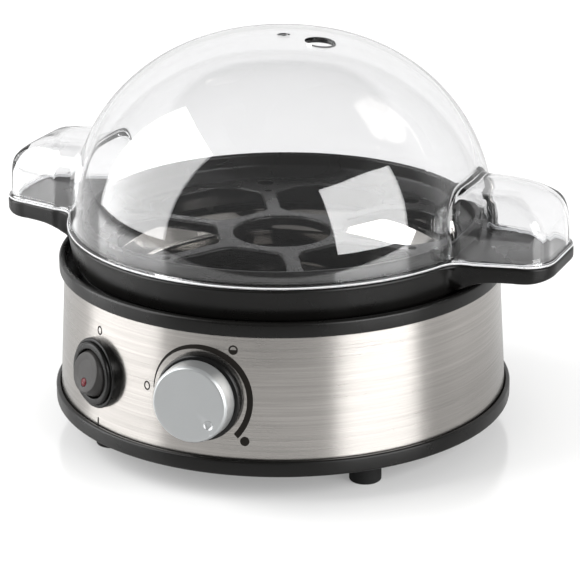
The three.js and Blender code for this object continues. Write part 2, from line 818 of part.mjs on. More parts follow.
addPiece(model, 'terminal_block', terminalBlockGeometry(), whitePlastic);

// Everything on the dial sits in the panel frame at the front

function placed(parent, frame) {
  const group = new THREE.Group();
  group.applyMatrix4(frame);
  parent.add(group);
  return group;
}

const dial = placed(model, dialFrame);
const regulatorFront = -(bandSheet + fallBack(regulatorWidth / 2) + gap);

function dialCollarGeometry() {
  const ring = spun([
    at(bushRadius + gap, -overrun), at(collarRadius, -overrun),
    at(collarRadius, collarProud - collarEdge), at(collarRadius - collarEdge, collarProud),
    at(collarRecess, collarProud), at(collarRecess, collarWeb + gap),
    at(bushRadius + gap, collarWeb + gap),
  ], dialSides);
  return cut(ring, bandCone(gap, dialFrame));
}

function regulatorGeometry() {
  const back = regulatorFront - regulatorDepth;
  const body = prism(rectangle(regulatorWidth, regulatorHeight, regulatorEdge), back, regulatorFront);
  const bush = bar(bushRadius, regulatorFront - overrun, bushProud);
  const bore = bar(shaftRadius + gap, regulatorFront - shaftTail - gap, bushProud + overrun);
  const tags = [-1, 0, 1].map((way) => (
    block(tagWidth, tagSheet, regulatorTagLength + gap, back - regulatorTagLength)
      .translate(way * regulatorWidth * tagSpreadShare, -regulatorHeight * tagDropShare, 0)));
  return cut(join(body, bush, ...tags), bore);
}

function dialNutGeometry() {
  const low = collarWeb + 2 * gap;
  const hex = bar(nutRadius, low, low + nutThick, nutSides);
  return cut(hex, bar(bushRadius + gap, low - overrun, low + nutThick + overrun));
}

const capBack = collarProud + gap;
const capFace = capBack + capHeight;
const flatStart = bushProud + gap;
const hubBack = flatStart + gap;

function flatCut(radius, low, high, clearance) {
  const side = radius * 2;
  const setOff = radius - shaftFlat + side / 2 + clearance;
  return block(side * 2, side, high - low, low).translate(0, setOff, 0);
}

function dialCapGeometry() {
  const inside = capRadius - capWall;
  const ceiling = capFace - capWall;
  const shell = spun([
    at(0, capFace), at(capRadius - capTaper - capBevel, capFace),
    at(capRadius - capTaper, capFace - capBevel), at(capRadius, capBack), at(inside, capBack),
    at(inside - capTaper, ceiling), at(capHubRadius, ceiling), at(capHubRadius, hubBack),
    at(0, hubBack),
  ], dialSides);
  const socket = bar(shaftRadius + gap, capBack - overrun, capBack + shaftReach + gap, smallSides);
  const keyed = cut(socket, flatCut(shaftRadius, capBack - overrun, capFace, gap));
  const ballRadius = (dimpleRadius * dimpleRadius + dimpleDepth * dimpleDepth) / (2 * dimpleDepth);
  const angle = turn(dialRest);
  const ball = new THREE.SphereGeometry(ballRadius, smallSides, pinSides).translate(
    dimpleCircle * Math.cos(angle), dimpleCircle * Math.sin(angle), capFace + ballRadius - dimpleDepth);
  return cut(shell, keyed, ball);
}

function dialShaftGeometry() {
  const low = regulatorFront - shaftTail;
  const high = capBack + shaftReach;
  return cut(bar(shaftRadius, low, high), flatCut(shaftRadius, flatStart, high + overrun, 0));
}

addPiece(dial, 'dial_collar', dialCollarGeometry(), blackSatin);
addPiece(dial, 'regulator', regulatorGeometry(), greyPlastic);
addPiece(dial, 'dial_nut', dialNutGeometry(), zincSteel);
addPiece(dial, 'dial_shaft', dialShaftGeometry(), zincSteel);
addPiece(dial, 'dial_cap', dialCapGeometry(), satinSilver);

// Rocker switch

const switchGroup = placed(model, switchFrame);

function switchHousingGeometry() {
  const lip = bezelProud - bezelStepProud;
  const bezel = spun([
    at(0, -overrun), at(bezelRadius, -overrun), at(bezelRadius, bezelEdge),
    at(bezelStepRadius + bezelGroove, bezelStepProud),
    at(bezelStepRadius + bezelGroove / 2, bezelStepProud),
    at(bezelStepRadius + bezelGroove / 2, bezelStepProud - bezelGroove),
    at(bezelStepRadius, bezelStepProud - bezelGroove), at(bezelStepRadius, bezelStepProud + lip / 3),
    at((bezelStepRadius + wellRadius) / 2, bezelProud), at(0, bezelProud),
  ], dialSides);
  const front = cut(bezel, bandCone(gap, switchFrame));
  const body = bar(switchBodyRadius, -switchBodyDepth, bezelEdge, dialSides);
  const well = bar(wellRadius, bezelProud - wellDepth, bezelProud + overrun, dialSides);
  const sockets = bar(trunnionRadius + gap, -wellRadius - trunnionLength - gap,
    wellRadius + trunnionLength + gap, pinSides).rotateY(turn(90)).translate(0, 0, rockerPivotProud);
  return cut(join(front, body), well, sockets);
}

const rocker = new THREE.Group();
rocker.position.z = rockerPivotProud;
rocker.rotation.x = -turn(rockerTilt);
switchGroup.add(rocker);

function rockerGeometry() {
  const ballRadius = Math.hypot(rockerFaceRadius, rockerFaceRise);
  const faceAngle = THREE.MathUtils.radToDeg(Math.asin(rockerFaceRise / ballRadius));
  const skirtAngle = THREE.MathUtils.radToDeg(Math.asin(rockerSkirtDrop / ballRadius));
  const body = spun([
    at(0, -rockerSkirtDrop), ...arc(0, 0, ballRadius, -skirtAngle, faceAngle, planSteps),
    at(0, rockerFaceRise),
  ], dialSides);
  const trunnionEnd = wellRadius + trunnionLength;
  const trunnions = bar(trunnionRadius, -trunnionEnd, trunnionEnd, pinSides).rotateY(turn(90));
  const seat = bar(lensRadius + gap, rockerFaceRise - lensThick, rockerFaceRise + overrun, pinSides)
    .translate(0, -lensDrop, 0);
  return cut(join(body, trunnions), seat);
}

function lensGeometry() {
  return bar(lensRadius, rockerFaceRise - lensThick + gap, rockerFaceRise + gap / 2, pinSides)
    .translate(0, -lensDrop, 0);
}

function switchTagGeometry() {
  return block(tagWidth, tagSheet, regulatorTagLength, -switchBodyDepth - gap - regulatorTagLength);
}

addPiece(switchGroup, 'switch_housing', switchHousingGeometry(), blackSatin);
['switch_tag_low', 'switch_tag_middle', 'switch_tag_high'].forEach((name, i) => {
  const tag = addPiece(switchGroup, name, switchTagGeometry(), brass);
  tag.position.y = ((i - 1) * switchBodyRadius) / 2;
});
addPiece(rocker, 'switch_rocker', rockerGeometry(), greyPlastic);
addPiece(rocker, 'rocker_lens', lensGeometry(), redLens);

// Cord gland, open for the supply cord

function glandGeometry() {
  const grooveBack = -(bandSheet + fallBack(glandRadius) + gap);
  const body = spun([
    at(glandBore, grooveBack - glandTail), at(glandRadius, grooveBack - glandTail),
    at(glandRadius, grooveBack), at(glandNeckRadius, grooveBack), at(glandNeckRadius, -gap),
    at(glandRadius, -gap), at(glandRadius, glandProud / 3), at(glandTipRadius, glandProud),
    at(glandBore, glandProud),
  ], smallSides);
  const flangeBack = common(bandCone(gap, glandFrame), cut(
    bar(glandRadius + overrun, -gap * 2, glandProud),
    bar(glandNeckRadius, -gap * 2 - overrun, glandProud + overrun),
  ));
  return cut(body, flangeBack);
}

addPiece(placed(model, glandFrame), 'cord_gland', glandGeometry(), blackSatin);

// Egg tray and lid sit a little turned on the base

const carried = new THREE.Group();
carried.rotation.z = turn(trayTurn);
model.add(carried);

// Plan of one handle, from inside the skirt to the tip
function handlePlan(inset) {
  const half = handleHalfWidth - inset;
  const wide = half + handleTaper;
  const tip = handleReach - inset;
  const root = trayCollarRadius;
  const neck = trayRimRadius + handleFlare;
  const shape = new THREE.Shape();
  shape.moveTo(root, -wide - handleFlare);
  shape.quadraticCurveTo(trayRimRadius, -wide, neck, -wide);
  shape.lineTo(tip - handleCorner, -half);
  shape.quadraticCurveTo(tip - handleCorner * cornerPullShare, -half, tip, -half + handleCorner);
  shape.lineTo(tip, half - handleCorner);
  shape.quadraticCurveTo(tip - handleCorner * cornerPullShare, half, tip - handleCorner, half);
  shape.lineTo(neck, wide);
  shape.quadraticCurveTo(trayRimRadius, wide, root, wide + handleFlare);
  shape.closePath();
  return shape;
}

// Side view of a handle: level on top, its underside curving down to the skirt
function handleSide() {
  const under = trayLand - handleThick;
  const root = trayCollarRadius;
  const shape = new THREE.Shape();
  shape.moveTo(root, trayLand);
  shape.lineTo(root, rimTop + handleClearance);
  shape.lineTo(trayRimRadius - traySkirtTaper, rimTop + handleClearance);
  const rootEnd = trayRimRadius + handleRootLength;
  shape.quadraticCurveTo(rootEnd - handleRootLength * rootPullShare, under, rootEnd, under);
  shape.lineTo(handleReach - handleThick, under);
  shape.quadraticCurveTo(handleReach, under, handleReach, under + handleTipRise);
  shape.lineTo(handleReach, trayLand);
  shape.closePath();
  return shape;
}

function handleGeometry(way) {
  const plan = prism(handlePlan(0), trayFoot, trayLand);
  const width = handleHalfWidth + handleTaper + handleFlare + overrun;
  const side = prism(handleSide(), -width, width).rotateX(turn(90));
  return common(plan, side).rotateZ(way > 0 ? 0 : Math.PI);
}

// One outer egg opening, on +X, its sides running along the spokes; grown by an offset
function eggHoleShape(offset) {
  const half = turn(180 / eggCount);
  const inner = eggHoleInner - offset;
  const outer = eggHoleOuter + offset;
  const spoke = eggWeb / 2 - offset;
  const sideAt = (r) => r * Math.tan(half) - spoke / Math.cos(half);
  const shoulder = eggHoleInner + (eggHoleOuter - eggHoleInner) * eggShoulderShare;
  const crest = eggHoleInner + (eggHoleOuter - eggHoleInner) * eggCrestShare;
  const end = sideAt(inner) * eggEndShare;
  const widest = sideAt(shoulder);
  const crestHalf = widest * eggCrestWidthShare;
  return roundedShape([
    at(inner, -sideAt(inner)), at(shoulder, -widest), at(crest, -crestHalf), at(outer, -end),
    at(outer, end), at(crest, crestHalf), at(shoulder, widest), at(inner, sideAt(inner)),
  ], eggHoleCorner);
}

// The middle opening and the outer ones as prisms between two heights
function eggPrisms(offset, low, high) {
  const outline = prism(eggHoleShape(offset), low, high, eggSteps);
  const halfStep = 180 / eggCount;
  const holes = [bar(middleHole + offset, low, high, smallSides)];
  for (let i = 0; i < eggCount; i += 1) {
    holes.push(outline.clone().rotateZ(turn(halfStep * (2 * i + 1))));
  }
  return holes;
}

function eggTrayGeometry() {
  const skirtFoot = trayRimRadius - traySkirtTaper;
  const under = trayLand - traySkirtWall;
  const body = spun([
    at(0, trayPlateTop), at(trayPlateRadius - trayPlateThick, trayPlateTop),
    at(trayPlateRadius, trayPlateTop + trayPlateThick / 3),
    at(trayCollarRadius - trayCollarWall, trayLand - trayEdge),
    ...arc(trayCollarRadius - trayCollarWall / 2, trayLand + trayCollarRise - trayCollarWall / 2,
      trayCollarWall / 2, 180, 0),
    at(trayCollarRadius + gap, trayLand), at(trayRimRadius - trayEdge, trayLand),
    at(trayRimRadius, trayLand - trayEdge), at(skirtFoot, trayFoot + trayEdge),
    at(skirtFoot - trayEdge, trayFoot), at(skirtFoot - traySkirtWall - trayEdge, trayFoot),
    at(skirtFoot - traySkirtWall, trayFoot + trayEdge), at(trayRimRadius - traySkirtWall, under),
    at(trayCollarRadius, under), at(trayPlateRadius + traySpigotWall, trayPlateUnder),
    at(rimThroat - gap * 2, trayFoot + gap), at(rimThroat - gap * 2, trayFoot - traySpigotDepth),
    at(rimThroat - gap * 2 - traySpigotWall, trayFoot - traySpigotDepth),
    at(rimThroat - gap * 2 - traySpigotWall, trayPlateUnder), at(0, trayPlateUnder),
  ], ringSides);
  const sleeves = eggPrisms(sleeveWall, trayPlateUnder - sleeveDepth, trayPlateUnder + gap);
  const openings = eggPrisms(0, trayPlateUnder - sleeveDepth - overrun, trayPlateTop + overrun);
  const slots = copiesRound(eggCount, slotCircle, 0, () => (
    bar(slotRadius, trayPlateUnder - overrun, trayPlateTop + overrun, pinSides)));
  const pinHoles = copiesRound(eggCount, pinHoleCircle, 0, () => (
    bar(pinHoleRadius, trayPlateUnder - overrun, trayPlateTop + overrun, pinSides)));
  return cut(join(body, handleGeometry(1), handleGeometry(-1), ...sleeves), ...openings, ...slots,
    ...pinHoles);
}

addPiece(carried, 'egg_tray', eggTrayGeometry(), blackGloss);

// Lid: dome, two ear boxes over the handles and a stepped flange

function domeGeometry(inset) {
  const radius = lidRadius - inset;
  const height = lidHeight + crownDrop - gap - inset;
  const outline = [at(0, lidFoot - (inset > 0 ? overrun : 0))];
  if (inset > 0) outline.push(at(radius, lidFoot - overrun));
  for (let i = 0; i <= domeRows; i += 1) {
    const angle = (Math.PI / 2) * (i / domeRows);
    const r = i === domeRows ? 0 : radius * Math.cos(angle) ** (2 / lidFullness);
    const drop = crownDrop * Math.exp(-((r / crownSpread) ** 2));
    outline.push(at(r, lidFoot + height * Math.sin(angle) ** (2 / lidFullness) - drop));
  }
  return spun(outline, ringSides);
}

// Section of an ear box across the handle: an arch with rounded shoulders
function earArch(inset, foot) {
  const half = handleHalfWidth + handleTaper - earInset - inset;
  const top = trayLand + earHeight - inset;
  const corner = earTopCorner - inset;
  const pull = corner * shoulderPullShare;
  const shape = new THREE.Shape();
  shape.moveTo(-half, foot);
  shape.lineTo(half, foot);
  shape.lineTo(half, top - corner);
  shape.quadraticCurveTo(half - pull, top - pull, half - corner, top);
  shape.lineTo(-half + corner, top);
  shape.quadraticCurveTo(-half + pull, top - pull, -half, top - corner);
  shape.closePath();
  return shape;
}

// Side view of an ear box, rounded down at the tip
function earSide(inset, foot) {
  const tip = handleReach - earInset - inset;
  const top = trayLand + earHeight - inset;
  const corner = earTipCorner - inset;
  const pull = corner * shoulderPullShare;
  const shape = new THREE.Shape();
  shape.moveTo(earRoot, foot);
  shape.lineTo(tip, foot);
  shape.lineTo(tip - corner * cornerPullShare, top - corner);
  shape.quadraticCurveTo(tip - pull, top - pull, tip - corner, top);
  shape.lineTo(earRoot, top);
  shape.closePath();
  return shape;
}

function earGeometry(inset, foot, way) {
  const top = trayLand + earHeight + overrun;
  const reach = handleReach + overrun;
  const plan = prism(handlePlan(earInset + inset), foot, top);
  const across = prism(earArch(inset, foot), 0, reach).rotateX(turn(90)).rotateZ(turn(90));
  const width = handleHalfWidth + handleTaper + handleFlare + overrun;
  const side = prism(earSide(inset, foot), -width, width).rotateX(turn(90));
  return common(plan, across, side).rotateZ(way > 0 ? 0 : Math.PI);
}

function lidFlangeGeometry() {
  const steps = [];
  for (let i = 0; i < lidFlangeSteps; i += 1) {
    const top = lidFoot + (lidFlangeThick * (i + 1)) / lidFlangeSteps;
    const inset = i * lidFlangeStep;
    steps.push(bar(trayRimRadius - inset, lidFoot, top, ringSides));
    steps.push(prism(handlePlan(inset), lidFoot, top));
    steps.push(prism(handlePlan(inset), lidFoot, top).rotateZ(Math.PI));
  }
  return join(...steps);
}

function lidGeometry() {
  const outside = join(domeGeometry(0), earGeometry(0, lidFoot, 1), earGeometry(0, lidFoot, -1),
    lidFlangeGeometry());
  const deep = lidFoot - overrun;
  const inside = join(domeGeometry(lidSheet), earGeometry(lidSheet, deep, 1),
    earGeometry(lidSheet, deep, -1));
  const vent = bar(ventRadius, crown - lidHeight / 4, crown + overrun).translate(ventX, ventY, 0);
  const gate = bar(gateRadius, crown - gateDepth, crown + overrun, pinSides).translate(gateX, gateY, 0);
  return cut(outside, inside, vent, gate);
}

addPiece(carried, 'lid', lidGeometry(), clearPlastic);

export default model;
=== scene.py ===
import json
import math
from types import SimpleNamespace

import bmesh
import bpy
import numpy as np
from mathutils import Matrix, Vector


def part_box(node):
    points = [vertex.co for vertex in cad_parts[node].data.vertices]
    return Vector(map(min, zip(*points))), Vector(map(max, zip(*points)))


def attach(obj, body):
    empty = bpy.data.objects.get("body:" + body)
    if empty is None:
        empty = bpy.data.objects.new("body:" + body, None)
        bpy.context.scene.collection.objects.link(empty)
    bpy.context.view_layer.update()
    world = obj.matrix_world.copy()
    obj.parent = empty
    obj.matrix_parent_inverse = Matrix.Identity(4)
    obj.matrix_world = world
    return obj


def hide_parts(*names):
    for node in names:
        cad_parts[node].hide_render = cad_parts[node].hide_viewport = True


bl_info = {
    "name": "Egg cooker looks",
    "version": (1, 0, 0),
    "blender": (4, 5, 0),
    "location": "View3D > Sidebar > Egg cooker",
    "description": "Finished surfaces, printed marks, light and camera for an electric egg cooker",
    "category": "Object",
}

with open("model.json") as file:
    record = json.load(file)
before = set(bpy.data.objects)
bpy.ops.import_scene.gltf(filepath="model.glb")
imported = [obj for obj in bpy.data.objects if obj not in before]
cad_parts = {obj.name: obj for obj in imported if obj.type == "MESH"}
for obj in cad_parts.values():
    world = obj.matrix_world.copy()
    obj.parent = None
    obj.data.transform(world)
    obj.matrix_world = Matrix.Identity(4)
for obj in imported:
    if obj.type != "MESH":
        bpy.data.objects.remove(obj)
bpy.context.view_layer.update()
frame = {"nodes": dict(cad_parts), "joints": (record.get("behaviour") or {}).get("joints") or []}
nodes = frame["nodes"]

# Units and fineness

MM = 0.001
GAP = 0.3 * MM  # between parts that don't touch
SAME_POINT = 1e-7  # metres within which two corners are one
SIDE_SHARE = 0.49  # most of a side that one corner's rounding takes
RING_STEPS = 192  # round the large rings
KNOB_STEPS = 96  # round feet, gland, rocker and the middle opening
FINE_KNOB_STEPS = 192  # round the dial and the bezel
SMALL_STEPS = 40
MARK_STEPS = 48
SLOT_STEPS = 32  # also round the screw wells
PIN_STEPS = 24
LIP_STEPS = 7  # over an opening's upper edge
CORNER_STEPS = 4
FLANK_STEPS = 14  # up the rocker's round side
BAND_ROWS = 14  # up the steel
ARC_STEPS = 96  # along the band round the dial
EDGE_STEPS = 6  # over the tray's edge
HANDLE_EDGE_STEPS = 5
UNDER_ROWS = 10  # under a handle
# (start, step) in degrees, round a quarter of the plan and up the dome
PLAN_STOPS = [(0, 1), (7, 0.15), (20, 1.5), (90, 0)]
DOME_STOPS = [(1.7, 0.5), (4, 0.6), (10, 0.22), (20, 0.8), (26, 1.6), (80, 1), (87, 0.35), (89.7, 0)]
PLAN_SEARCH = (0.05, 0.14)  # metres from the axis, where a ray meets the plan
DOME_SEARCH = (0.03, 0.14)
SHEET_FACING = 0.98  # cosine to the cone from which a face counts as the sheet's

# Places read from the frame


def radius_at(node, height, reach=0.0004):
    """Largest distance from the Z axis of a CAD node's corners near a height."""
    corners = [v.co for v in nodes[node].data.vertices if abs(v.co.z - height) < reach]
    return max(math.hypot(c.x, c.y) for c in corners)


def joint(name):
    return next(j for j in frame["joints"] if j["name"] == name)


BAND_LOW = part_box("steel_band")[0].z
BAND_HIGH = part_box("steel_band")[1].z
BAND_FOOT_RADIUS = radius_at("steel_band", BAND_LOW)
BAND_TOP_RADIUS = radius_at("steel_band", BAND_HIGH)
BAND_SLOPE = math.atan2(BAND_FOOT_RADIUS - BAND_TOP_RADIUS, BAND_HIGH - BAND_LOW)
PAN_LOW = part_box("base_pan")[0].z
PAN_RADIUS = radius_at("base_pan", PAN_LOW + 3 * MM, 4 * MM)
RIM_LOW = BAND_HIGH + GAP
RIM_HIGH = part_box("upper_rim")[1].z
RIM_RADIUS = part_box("upper_rim")[1].x
PLATE_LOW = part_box("heating_plate")[0].z
PLATE_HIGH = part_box("heating_plate")[1].z
PLATE_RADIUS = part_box("heating_plate")[1].x
LID_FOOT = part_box("lid")[0].z
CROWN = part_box("lid")[1].z
TRAY_LAND = LID_FOOT - GAP
TRAY_FOOT = RIM_HIGH - 1.4 * MM
TRAY_TURN = Matrix.Rotation(math.radians(-3.6), 4, "Z")  # the tray and lid sit turned on the base

# Sizes of the pieces; profiles are worked out from them and from the frame


def mm(**sizes):
    """Named sizes, given in millimetres and kept in metres."""
    return SimpleNamespace(**{name: size * MM for name, size in sizes.items()})


PAN = mm(height=6.3, floor=2.4, ring_wall=1.7, round=1.5, rib_width=1.6, rib_depth=0.6, well=3.4,
         well_depth=1.4)
PAN_RIB_RADII = (30 * MM, 58 * MM)
BAND = mm(sheet=1, round=0.25, dial_hole=6, switch_hole=12, gland_hole=6, fittings_in=0.4)
BAND_FOLD_SHARE = 0.3  # middle step of its rounded edges
RIM = mm(round=1.7, wall=2.4, channel=4, seat_radius=82, seat_rise=2.3, throat=76, ledge=6, ledge_thick=2.2,
         collar=2.4, deck=2, skirt=1.8, skirt_drop=7)
RIM_LEDGE_SHARE = 0.7  # the ledge's top as a share of the heating plate's height
PLATE = mm(sheet=1.2, slope=5, dome=0.5, dome_radius=20, dome_foot=24)
FOOT = mm(radius=6.3, round=1.3, pad=4.4, pad_depth=0.4)
TRAY = mm(radius=86.3, taper=2.1, wall=2.4, round=0.9, collar=80, collar_rise=5.2, collar_wall=2.4,
          plate_drop=4.9, plate_radius=74, plate_thick=2.4, spigot=75.4, spigot_wall=2, spigot_depth=3)
# half_width is where the handle's tip starts to round, taper how much wider its half is at its neck,
# blend how softly its sides run into the skirt
HANDLE = mm(reach=118.8, half_width=22, taper=3.6, neck=91.3, corner=12, blend=7, thick=6.3, root=16,
            clear=0.8, tip_rise=0.9, tip_length=7, edge=1.9, shoulder=5)
HANDLE_ROOT_POWER = 2.4  # how quickly the underside levels out
HANDLE_WALL_SHARES = (0.35, 0.7, 1.0)  # rows down its side wall
UNDER_POWER = 0.8  # rows under a handle stand closer towards the skirt
EGG_COUNT = 6
EGG = mm(middle=19.6, inner=26, outer=66.5, web=6.4, corner=7, lip=0.9, sleeve_wall=1.5, sleeve_depth=1.6,
         sleeve_edge=0.4, sleeve_root=0.6, slot_circle=67.5, slot=3.6, slot_lip=0.4, pin_circle=56, pin=1.7,
         pin_lip=0.3)
EGG_SHOULDER_SHARE = 0.55
EGG_CREST_SHARE = 0.86
EGG_CREST_WIDTH_SHARE = 0.82
EGG_END_SHARE = 0.95
# crown_drop is how much flatter the crown is than the dome's curve
LID = mm(sheet=2.2, dome=84.9, crown_drop=1.5, crown_spread=22, step_height=0.8, step_width=0.7, edge=0.36)
DOME_FULLNESS = 2.12
# inset is from the handle's edge to the ear box's wall
EAR = mm(top=110.2, inset=0.9, plan_corner=12.5, arch_corner=16.5, side_corner=21, softness=2.5, fillet=3)
EAR_DRAFT_SHARE = 0.02  # how much narrower the ear box is at its top
EAR_FILLET_LOSS = 1.1  # per depth into the wall, so that its inner corner is sharper
EAR_CORNER_LOSS = 0.8  # the same for the box's own corners
VENT_PLACE = (17.5 * MM, -1.8 * MM)
GATE_PLACE = (1.1 * MM, 0.4 * MM)
VENT_RADIUS = 6 * MM
GATE = mm(radius=2.6, depth=0.5)
COLLAR = mm(radius=16.9, proud=3.6, round=1.2, recess=9.6, web=1.5, bore=6, root=-4)
CAP = mm(radius=15.3, bevel=1.3, taper=0.3, wall=1.7, height=8)
DIMPLE = mm(circle=10.5, radius=1.6, depth=0.6, lip=0.3)
DIMPLE_DEGREES = -41
BEZEL = mm(radius=13.9, step_radius=12.4, step_proud=2.8, proud=4.3, groove=0.5, well=9.7, well_depth=10,
           root=-4, body=11, body_end=-17)
ROCKER = mm(pivot=1.7, face=7.8, rise=5, drop=5, edge=0.5, dish=0.35, dish_radius=5)
ROCKER_TILT = math.radians(-12)
LENS = mm(radius=1.7, drop=4, gap=0.15, seat=1, proud=0.05, thick=0.9)
GLAND = mm(bore=3.6, groove=0.5, proud=8.9, wide=7.3, tip=6, neck=5.6, root=-6, neck_from=-3, neck_to=-0.6,
           flange=2.6, ribs_from=3, tip_land=1)
GLAND_RIBS = 4
INK = mm(proud=0.07, sunk=-0.1, radius=1.85, line=0.6, overlap=0.02)
ARC = mm(outer=20.2, drift=0.55, width=2.4, thin=0.25)  # outer is least, drift its growth a quarter turn on
ARC_FROM = 180  # degrees, thin end beside the O
ARC_TO = -46
ARC_FULL = 60  # where the band has reached its full width
ARC_TOP = 95  # where its radius is least
ZERO_PLACE = (24 * MM, 180)  # from the dial's axis, and degrees
HALF_PLACE = (23.2 * MM, 56.5)
DOT_PLACE = (24.2 * MM, -43)
ZERO_NARROW_SHARE = 0.8
SWITCH = mm(zero_up=17, one_down=20.4, one_height=3.2, one_width=0.75)
# How far cutting tools reach past what they cut; lens_top is measured up from the rocker's hinge
TOOL = mm(hole=12, under=2, over=3, vent_down=20, vent_up=5, dimple=2, cone=5, core_down=3, core_up=9,
          lens_top=9)
LIP_SWEEP = math.radians(80)  # how far an opening's edge turns outwards

# Studio; lengths in metres and angles in degrees

FLOOR_CORNERS = [(-1.8, -0.42), (1.8, -0.42), (1.8, 4.0), (-1.8, 4.0)]
FLOOR_ROUND = 0.3
FLOOR_THICK = 0.01
# Painted shade: out to the first distance the floor glows less, and from the second it glows fully, so the
# floor round the object is painted darker.
PAINTED_SHADE_FULL_TO = 0.1  # from the axis
FULL_GLOW_FROM = 0.17
THROUGH_LID = 0.4  # light of the walls all round, as seen through the lid
WALL_ENDS = (0.66, 0.74)  # height on the room's sphere, where the bright wall fades out
WALL_SIDE = (-0.15, 0.2)  # cosine to the camera's way, from dark to bright
CEILING_RAMP = (-0.1, 0.5, 0.05, 0.2)  # from one height to another, from one brightness to another
PANELS = {  # azimuth, distance, foot height, width, height, lean and share of the panels' radiance
    "panel_left": (-67, 1.1, 0.05, 1.12, 1.43, 12, 0.88),
    "panel_right": (68, 1.1, 0.02, 0.89, 0.86, 21, 1.12),
}
CAMERA_PLACE = (0, -0.94165, 0.3899)
CAMERA_AHEAD = (0.00304, 0.94164, -0.3366)
CAMERA_ROLL = -0.35
SENSOR_WIDTH = 36  # millimetres
CLIP_END = 20


def band_radius(z):
    return BAND_FOOT_RADIUS - (z - BAND_LOW) * math.tan(BAND_SLOPE)


def placed(origin, right, up, out):
    place = Matrix((right, up, out)).transposed().to_4x4()
    place.translation = origin
    return place


def on_face(origin, right, out):
    """Matrix of a frame on the steel: Z out of the sheet, X to the right of someone facing it."""
    return placed(origin, right, out.cross(right), out)


def dial_place():
    turn = joint("dial_turn")
    return on_face(Vector(turn["pos_m"]), Vector((1, 0, 0)), Vector(turn["axis"]).normalized())


def switch_place():
    """Frame of the switch where its axis meets the steel, from the rocker's hinge."""
    press = joint("rocker_press")
    right = Vector(press["axis"]).normalized()
    out = Vector((right.y, -right.x, 0)) * math.cos(BAND_SLOPE)
    out.z = math.sin(BAND_SLOPE)
    return on_face(Vector(press["pos_m"]) - out * ROCKER.pivot, right, out)


def gland_place():
    low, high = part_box("cord_gland")
    z = (low.z + high.z) / 2
    out = Vector((0, math.cos(BAND_SLOPE), math.sin(BAND_SLOPE)))
    return on_face(Vector((0, band_radius(z), z)), Vector((-1, 0, 0)), out)


# Sizes and colours that a user would change


def number(name, text, value, **limits):
    return bpy.props.FloatProperty(name=name, description=text, default=value, min=0, **limits)


def length(name, text, value):
    return number(name, text, value, subtype="DISTANCE", unit="LENGTH")


def share(name, text, value):
    return number(name, text, value, subtype="FACTOR", max=1)


def colour(name, text, value):
    return bpy.props.FloatVectorProperty(
        name=name, description=text, subtype="COLOR", size=3, min=0, max=1, default=value)


class CookerSizes(bpy.types.PropertyGroup):
    """Sizes of the details that the looks add"""

    lip: length("Opening lip", "Rounding of the egg openings' upper edge", EGG.lip)
    ink: length("Ink height", "How far a printed mark stands out of the steel", INK.proud)
    mark: length("Mark radius", "Radius of the small marks beside the dial", INK.radius)
    lid_sheet: length("Lid wall", "Thickness of the clear lid", LID.sheet)
    cap_bevel: length("Cap bevel", "Bright bevel round the dial's face", CAP.bevel)


class CookerFinishes(bpy.types.PropertyGroup):
    """Colours and gloss of the finishes"""

    satin_black: colour("Satin black", "Moulded black of the base, rim and handles", (0.0042, 0.004, 0.0037))
    gloss_black: colour("Gloss black", "Polished black inside the egg openings", (0.004, 0.004, 0.004))
    web_grey: colour("Egg plate", "Fine matt top of the egg plate", (0.011, 0.0108, 0.0105))
    rubber: colour("Rubber", "Feet and gland", (0.009, 0.009, 0.009))
    steel: colour("Steel", "Brushed steel band", (0.455, 0.435, 0.413))
    silver: colour("Silver", "Satin silver of the dial's cap", (0.45, 0.462, 0.466))
    plate: colour("Heating plate", "Bare metal of the water bowl", (0.52, 0.5, 0.47))
    lens: colour("Lens", "Red lens of the rocker", (0.12, 0.008, 0.014))
    # Painted highlight: near white that stands in for the line of light in the lid's flange edge
    edge: colour("Flange edge", "Line of light in the lid's edge", (0.95, 0.95, 0.96))
    ink: colour("Ink", "Printed marks on the steel", (0.007, 0.006, 0.005))
    clear_tint: colour("Lid tint", "Colour of the clear lid", (0.915, 0.915, 0.92))
    steel_roughness: share("Steel roughness", "How broad the steel's highlights are", 0.22)
    brush_depth: share("Brush depth", "Strength of the brushed lines", 0.12)
    grain_depth: share("Grain depth", "Strength of the moulded grain", 0.22)


class CookerStudio(bpy.types.PropertyGroup):
    """Camera, floor and lights"""

    azimuth: bpy.props.FloatProperty(
        name="Azimuth", description="Where the camera stands round the object", subtype="ANGLE",
        unit="ROTATION", default=math.radians(20.4))
    focal: number("Focal length", "Camera lens on a 36 mm sensor, in millimetres", 152.5)
    floor: colour("Floor", "Plain pale floor", (0.68, 0.68, 0.677))
    glow: number("Floor glow", "Light added to the floor where it is seen", 0.38)
    # Painted shade: the lower glow close to the object paints the floor darker round it.
    painted_shade_glow: number("Glow beside the object", "The same, close to the object, where shadows stay", 0.24)
    panel: number("Panel radiance", "Brightness of the soft panels", 6.2)
    ambient: number("Ambient", "Light from all round the room", 0.5)


# Mesh helpers


def filleted(corners, steps=CORNER_STEPS):
    """Outline through (r, z, radius) corners, each rounded by its radius.

    A corner without a radius stays sharp, and so do the first and the last.
    """
    points = []
    for i, (r, z, *radius) in enumerate(corners):
        here = Vector((r, z))
        if not radius or i in (0, len(corners) - 1):
            points.append(here)
            continue
        back = Vector(corners[i - 1][:2]) - here
        ahead = Vector(corners[i + 1][:2]) - here
        half = back.angle(ahead) / 2
        reach = min(radius[0] / math.tan(half), back.length * SIDE_SHARE,
                    ahead.length * SIDE_SHARE)
        real = reach * math.tan(half)
        back.normalize()
        ahead.normalize()
        centre = here + (back + ahead).normalized() * (real / math.sin(half))
        start = here + back * reach - centre
        end = here + ahead * reach - centre
        sweep = start.angle_signed(end)
        points += [centre + Matrix.Rotation(-sweep * k / steps, 2) @ start for k in range(steps + 1)]
    return points


